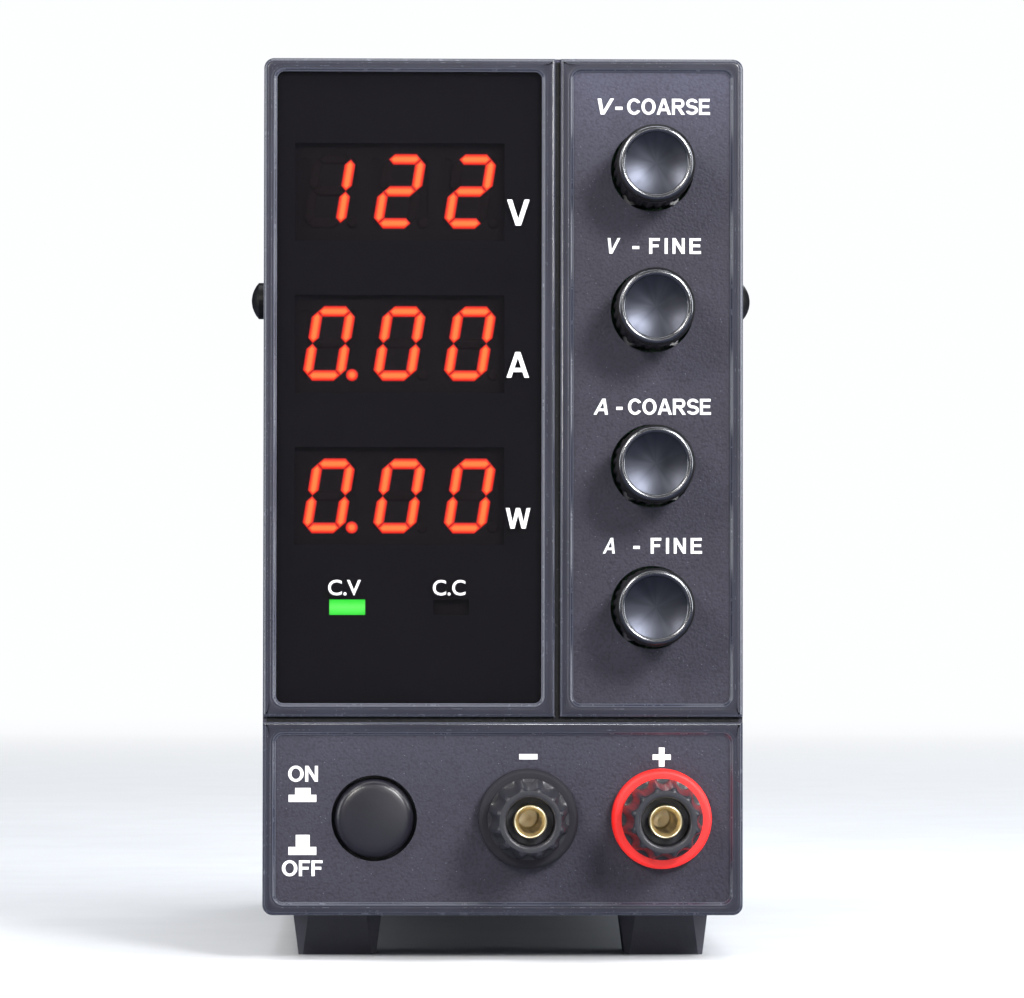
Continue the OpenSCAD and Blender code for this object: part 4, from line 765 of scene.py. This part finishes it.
for post, post_x, finish in (("positive", 27.7, base_red), ("negative", 4.4, base_black)):
    turning = bmesh.new()
    lathe(turning, collar, post_x, post_z)
    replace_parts(join_piece(post + "_collar", turning, [finish], "case", smooth=35), post + "_base")
    turning = bmesh.new()
    lathe(turning, grip, post_x, post_z, steps=192, wave=flutes)
    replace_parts(join_piece(post + "_grip", turning, [post_black], post + "_cap", smooth=32), post + "_cap")
    turning = bmesh.new()
    lathe(turning, stem + lip_and_bore + [(0.0, 5.74)], post_x, post_z, wave=hexagon,
          material_of=lambda k: 1 if k >= bore_start else 0)
    piece = join_piece(post + "_socket_turned", turning, [brass, pale_painted_bore_brass], "case", smooth=35)
    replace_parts(piece, post + "_socket")
dress(brass, "post_nuts")
dress(turned_metal("ring_metal", colour(186, 186, 182), colour(206, 206, 202), 0.28),
      "positive_clamp_ring", "negative_clamp_ring")
dress(moulded("black_plastic", colour(26, 26, 28), roughness=0.5, grain=1800.0, strength=0.2),
      "post_insulators", "power_switch", "voltage_selector", "fuse_drawer")


# Case: folded steel sheets held by black and plated screws. The cover and the rear have a fine powder coat,
# and the tray, the bulkhead and the heat sinks are bare zinc with its spangle.
dress(moulded("cover_paint", colour(54, 54, 64), roughness=0.55, grain=900.0, depth=0.00006, strength=0.4),
      "cover", "rear_panel")
zinc, zinc_tree, zinc_shader = new_material("zinc_sheet")
zinc_place = wire(zinc_tree, "ShaderNodeTexCoord").outputs["Object"]
spangle = wire(zinc_tree, "ShaderNodeTexVoronoi", {"Vector": zinc_place, "Scale": 160.0})
flake = wire(zinc_tree, "ShaderNodeSeparateXYZ", {0: spangle.outputs["Color"]}).outputs[0]
zinc_ramp = wire(zinc_tree, "ShaderNodeValToRGB", {"Fac": flake})
zinc_ramp.color_ramp.elements[0].color = colour(138, 142, 148)
zinc_ramp.color_ramp.elements[1].color = colour(182, 186, 190)
zinc_tree.links.new(zinc_ramp.outputs[0], zinc_shader.inputs["Base Color"])
zinc_shader.inputs["Metallic"].default_value = 0.9
zinc_tree.links.new(between(zinc_tree, spangle.outputs["Distance"], 0.0, 0.8, 0.32, 0.5),
                    zinc_shader.inputs["Roughness"])
dress(zinc, "front_bulkhead", "chassis_tray", "heat_sinks")
dress(moulded("black_screw", colour(24, 24, 26), roughness=0.33, grain=1600.0, strength=0.15, metal=0.5),
      "cover_screws", "fan_screws", "inlet_screws", "foot_screws")
dress(moulded("plated_screw", colour(168, 168, 170), roughness=0.3, grain=1600.0, strength=0.1, metal=1.0),
      "bulkhead_screws", "control_board_screws", "potentiometers", "board_standoffs")


# Feet: black moulded rubber, wider at the top, with a thin lip round the sole. Each is held by one screw from
# below, whose head is sunk in it.
dress(moulded("foot_rubber", colour(54, 53, 64), roughness=0.55, grain=1400.0, depth=0.00006, strength=0.4),
      "feet")


# Fan: a frame and a bladed rotor, both moulded in black glass-filled plastic. Four screws hold the frame behind
# the grille that is punched in the rear panel.
dress(moulded("fan_black", colour(22, 22, 24), roughness=0.48, grain=1500.0, strength=0.25),
      "fan_frame", "fan_rotor")


# Inlet, fuse and voltage selector: black nylon bodies fixed in the rear panel, with nickel blades in the inlet,
# a glass fuse in its drawer and a red slider.
dress(moulded("inlet_nylon", colour(24, 24, 26), roughness=0.46, grain=1300.0, strength=0.25), "power_inlet")
dress(turned_metal("nickel_blade", colour(190, 190, 186), colour(214, 214, 210), 0.24), "inlet_pins")
dress(moulded("fuse_glass", colour(196, 204, 200), roughness=0.12, grain=900.0, strength=0.05), "fuse")
dress(moulded("slider_red", colour(196, 34, 28), roughness=0.4, grain=2000.0, strength=0.12),
      "selector_slider")


# Electronics: glass-fibre boards on standoffs, a ferrite transformer with taped windings, sleeved capacitors,
# transistors on their sinks, a copper choke and the leads between them.
board_green, board_tree, board_shader = new_material("board_green")
board_place = wire(board_tree, "ShaderNodeTexCoord").outputs["Object"]
weave = wire(board_tree, "ShaderNodeTexBrick",
             {"Vector": board_place, "Scale": 420.0, "Mortar Size": 0.08, "Color1": colour(18, 84, 50),
              "Color2": colour(22, 94, 56), "Mortar": colour(52, 120, 70)})
board_tree.links.new(weave.outputs[0], board_shader.inputs["Base Color"])
board_tree.links.new(between(board_tree, weave.outputs[1], 0.0, 1.0, 0.3, 0.42),
                     board_shader.inputs["Roughness"])
dress(board_green, "control_board", "main_board")
dress(moulded("ferrite", colour(52, 52, 56), roughness=0.6, grain=1100.0, strength=0.4), "transformer_core")
dress(moulded("winding_tape", colour(208, 176, 62), roughness=0.35, grain=500.0, strength=0.2),
      "transformer_winding")
dress(moulded("capacitor_sleeve", colour(32, 38, 74), roughness=0.32, grain=900.0, strength=0.12),
      "bulk_capacitors", "output_capacitors")
dress(moulded("epoxy_black", colour(24, 24, 24), roughness=0.5, grain=1900.0, strength=0.3),
      "power_transistors")
dress(moulded("copper_winding", colour(176, 92, 48), roughness=0.3, grain=1200.0, strength=0.25, metal=0.8),
      "output_choke")
dress(moulded("lead_sleeve", colour(150, 30, 28), roughness=0.42, grain=1500.0, strength=0.12), "wiring")
dress(moulded("ribbon_grey", colour(148, 150, 154), roughness=0.5, grain=1500.0, strength=0.15),
      "ribbon_cable")


# Studio: a sweep of pale paper that curves up behind the supply, a pale world, and nine lamps: two main
# softboxes above the camera, two higher ones, one overhead, a low fill, a wall of light on each side and one
# behind.
half_width, bend, back, rise = 4.0, 0.7, 1.8, (1.5, 2.5, 3.6)
line = [(y, 0.0) for y in (-2.4, -1.2, 0.0, 1.0, back)]
line += [(back + bend * math.sin(a), bend - bend * math.cos(a))
         for a in [math.radians(9 * i) for i in range(1, 11)]]
line += [(back + bend, z) for z in rise]
sweep = bmesh.new()
edges = [[sweep.verts.new((x, y, z)) for y, z in line] for x in (-half_width, half_width)]
for i in range(len(line) - 1):
    sweep.faces.new((edges[0][i], edges[1][i], edges[1][i + 1], edges[0][i + 1]))
sweep_mesh = bpy.data.meshes.new("paper_sweep")
sweep.to_mesh(sweep_mesh)
sweep.free()
sweep_mesh.shade_smooth()

paper, paper_tree, paper_shader = new_material("paper")
paper_fibre = place_group(paper_tree, mould_grain, Scale=700.0)
rays = wire(paper_tree, "ShaderNodeLightPath").outputs
paper_white = blend_colours(paper_tree, between(paper_tree, paper_fibre["Mottle"], 0.3, 0.7),
                            colour(228, 230, 234), colour(234, 236, 240))
# Glossy rays see the paper darker: a painted dark surround in the reflections on the supply.
paper_tree.links.new(blend_colours(paper_tree, rays["Is Glossy Ray"], paper_white, colour(84, 88, 104)),
                     paper_shader.inputs["Base Color"])
paper_shader.inputs["Roughness"].default_value = 0.9
paper_shader.inputs["Specular IOR Level"].default_value = 0.1
# Away from the supply the paper is seen as white, and near it keeps the supply's shadow.
seen = maths(paper_tree, "MAXIMUM", rays["Is Camera Ray"], rays["Is Transmission Ray"])
paper_reach = wire(paper_tree, "ShaderNodeVectorMath",
                   {0: wire(paper_tree, "ShaderNodeTexCoord").outputs["Object"]}, operation="LENGTH")
far_off = maths(paper_tree, "MULTIPLY", between(paper_tree, paper_reach.outputs["Value"], 0.3, 1.9), seen)
glare = wire(paper_tree, "ShaderNodeEmission", {"Color": (0.93, 0.945, 0.96, 1), "Strength": 1.06})
paper_mix = wire(paper_tree, "ShaderNodeMixShader",
                 {0: far_off, 1: paper_shader.outputs[0], 2: glare.outputs[0]})
paper_tree.links.new(paper_mix.outputs[0], paper_tree.nodes["Material Output"].inputs[0])
sweep_mesh.materials.append(paper)
backdrop = bpy.data.objects.new("paper_sweep", sweep_mesh)
bpy.context.scene.collection.objects.link(backdrop)

world = bpy.data.worlds.new("studio")
bpy.context.scene.world = world
world.use_nodes = True
sky = world.node_tree.nodes["Background"]
world_rays = wire(world.node_tree, "ShaderNodeLightPath").outputs
world.node_tree.links.new(blend_colours(world.node_tree, world_rays["Is Camera Ray"], (0.156, 0.163, 0.17, 1),
                                        (0.98, 0.99, 1.0, 1)), sky.inputs[0])
sky.inputs[1].default_value = 1.0

# Each lamp: its name, place, size, watts and colour.
aim = Vector((0, 0, 0.08))
for name, place, size, power, tint in (
        ("softbox_right", (0.4, -0.98, 0.49), (0.24, 0.24), 9.8, (1.0, 1.0, 1.0)),
        ("softbox_left", (-0.4, -0.98, 0.48), (0.18, 0.2), 4.8, (1.0, 0.96, 0.9)),
        ("high_right", (0.56, -0.5, 0.7), (0.3, 0.3), 3.8, (1.0, 1.0, 1.0)),
        ("high_left", (-0.5, -0.5, 0.72), (0.28, 0.3), 2.4, (1.0, 0.98, 0.94)),
        ("softbox_top", (0.0, 0.0, 1.4), (1.1, 0.9), 9.0, (0.96, 0.98, 1.0)),
        ("front_fill", (0.32, -1.9, 0.12), (0.28, 0.2), 0.9, (1.0, 0.99, 0.97)),
        ("wall_right", (0.95, -0.2, 0.3), (0.45, 0.7), 5.6, (0.95, 0.98, 1.0)),
        ("wall_left", (-0.95, -0.2, 0.3), (0.45, 0.7), 3.8, (0.95, 0.98, 1.0)),
        ("softbox_back", (0.5, 1.3, 1.0), (0.8, 0.8), 7.0, (0.9, 0.95, 1.0))):
    lamp = bpy.data.lights.new(name, "AREA")
    lamp.shape = "RECTANGLE"
    lamp.size, lamp.size_y = size
    lamp.energy = power
    lamp.color = tint
    holder = bpy.data.objects.new(name, lamp)
    holder.location = place
    holder.rotation_euler = (aim - Vector(place)).to_track_quat("-Z", "Y").to_euler()
    bpy.context.scene.collection.objects.link(holder)
bpy.context.scene.view_settings.view_transform = "Standard"
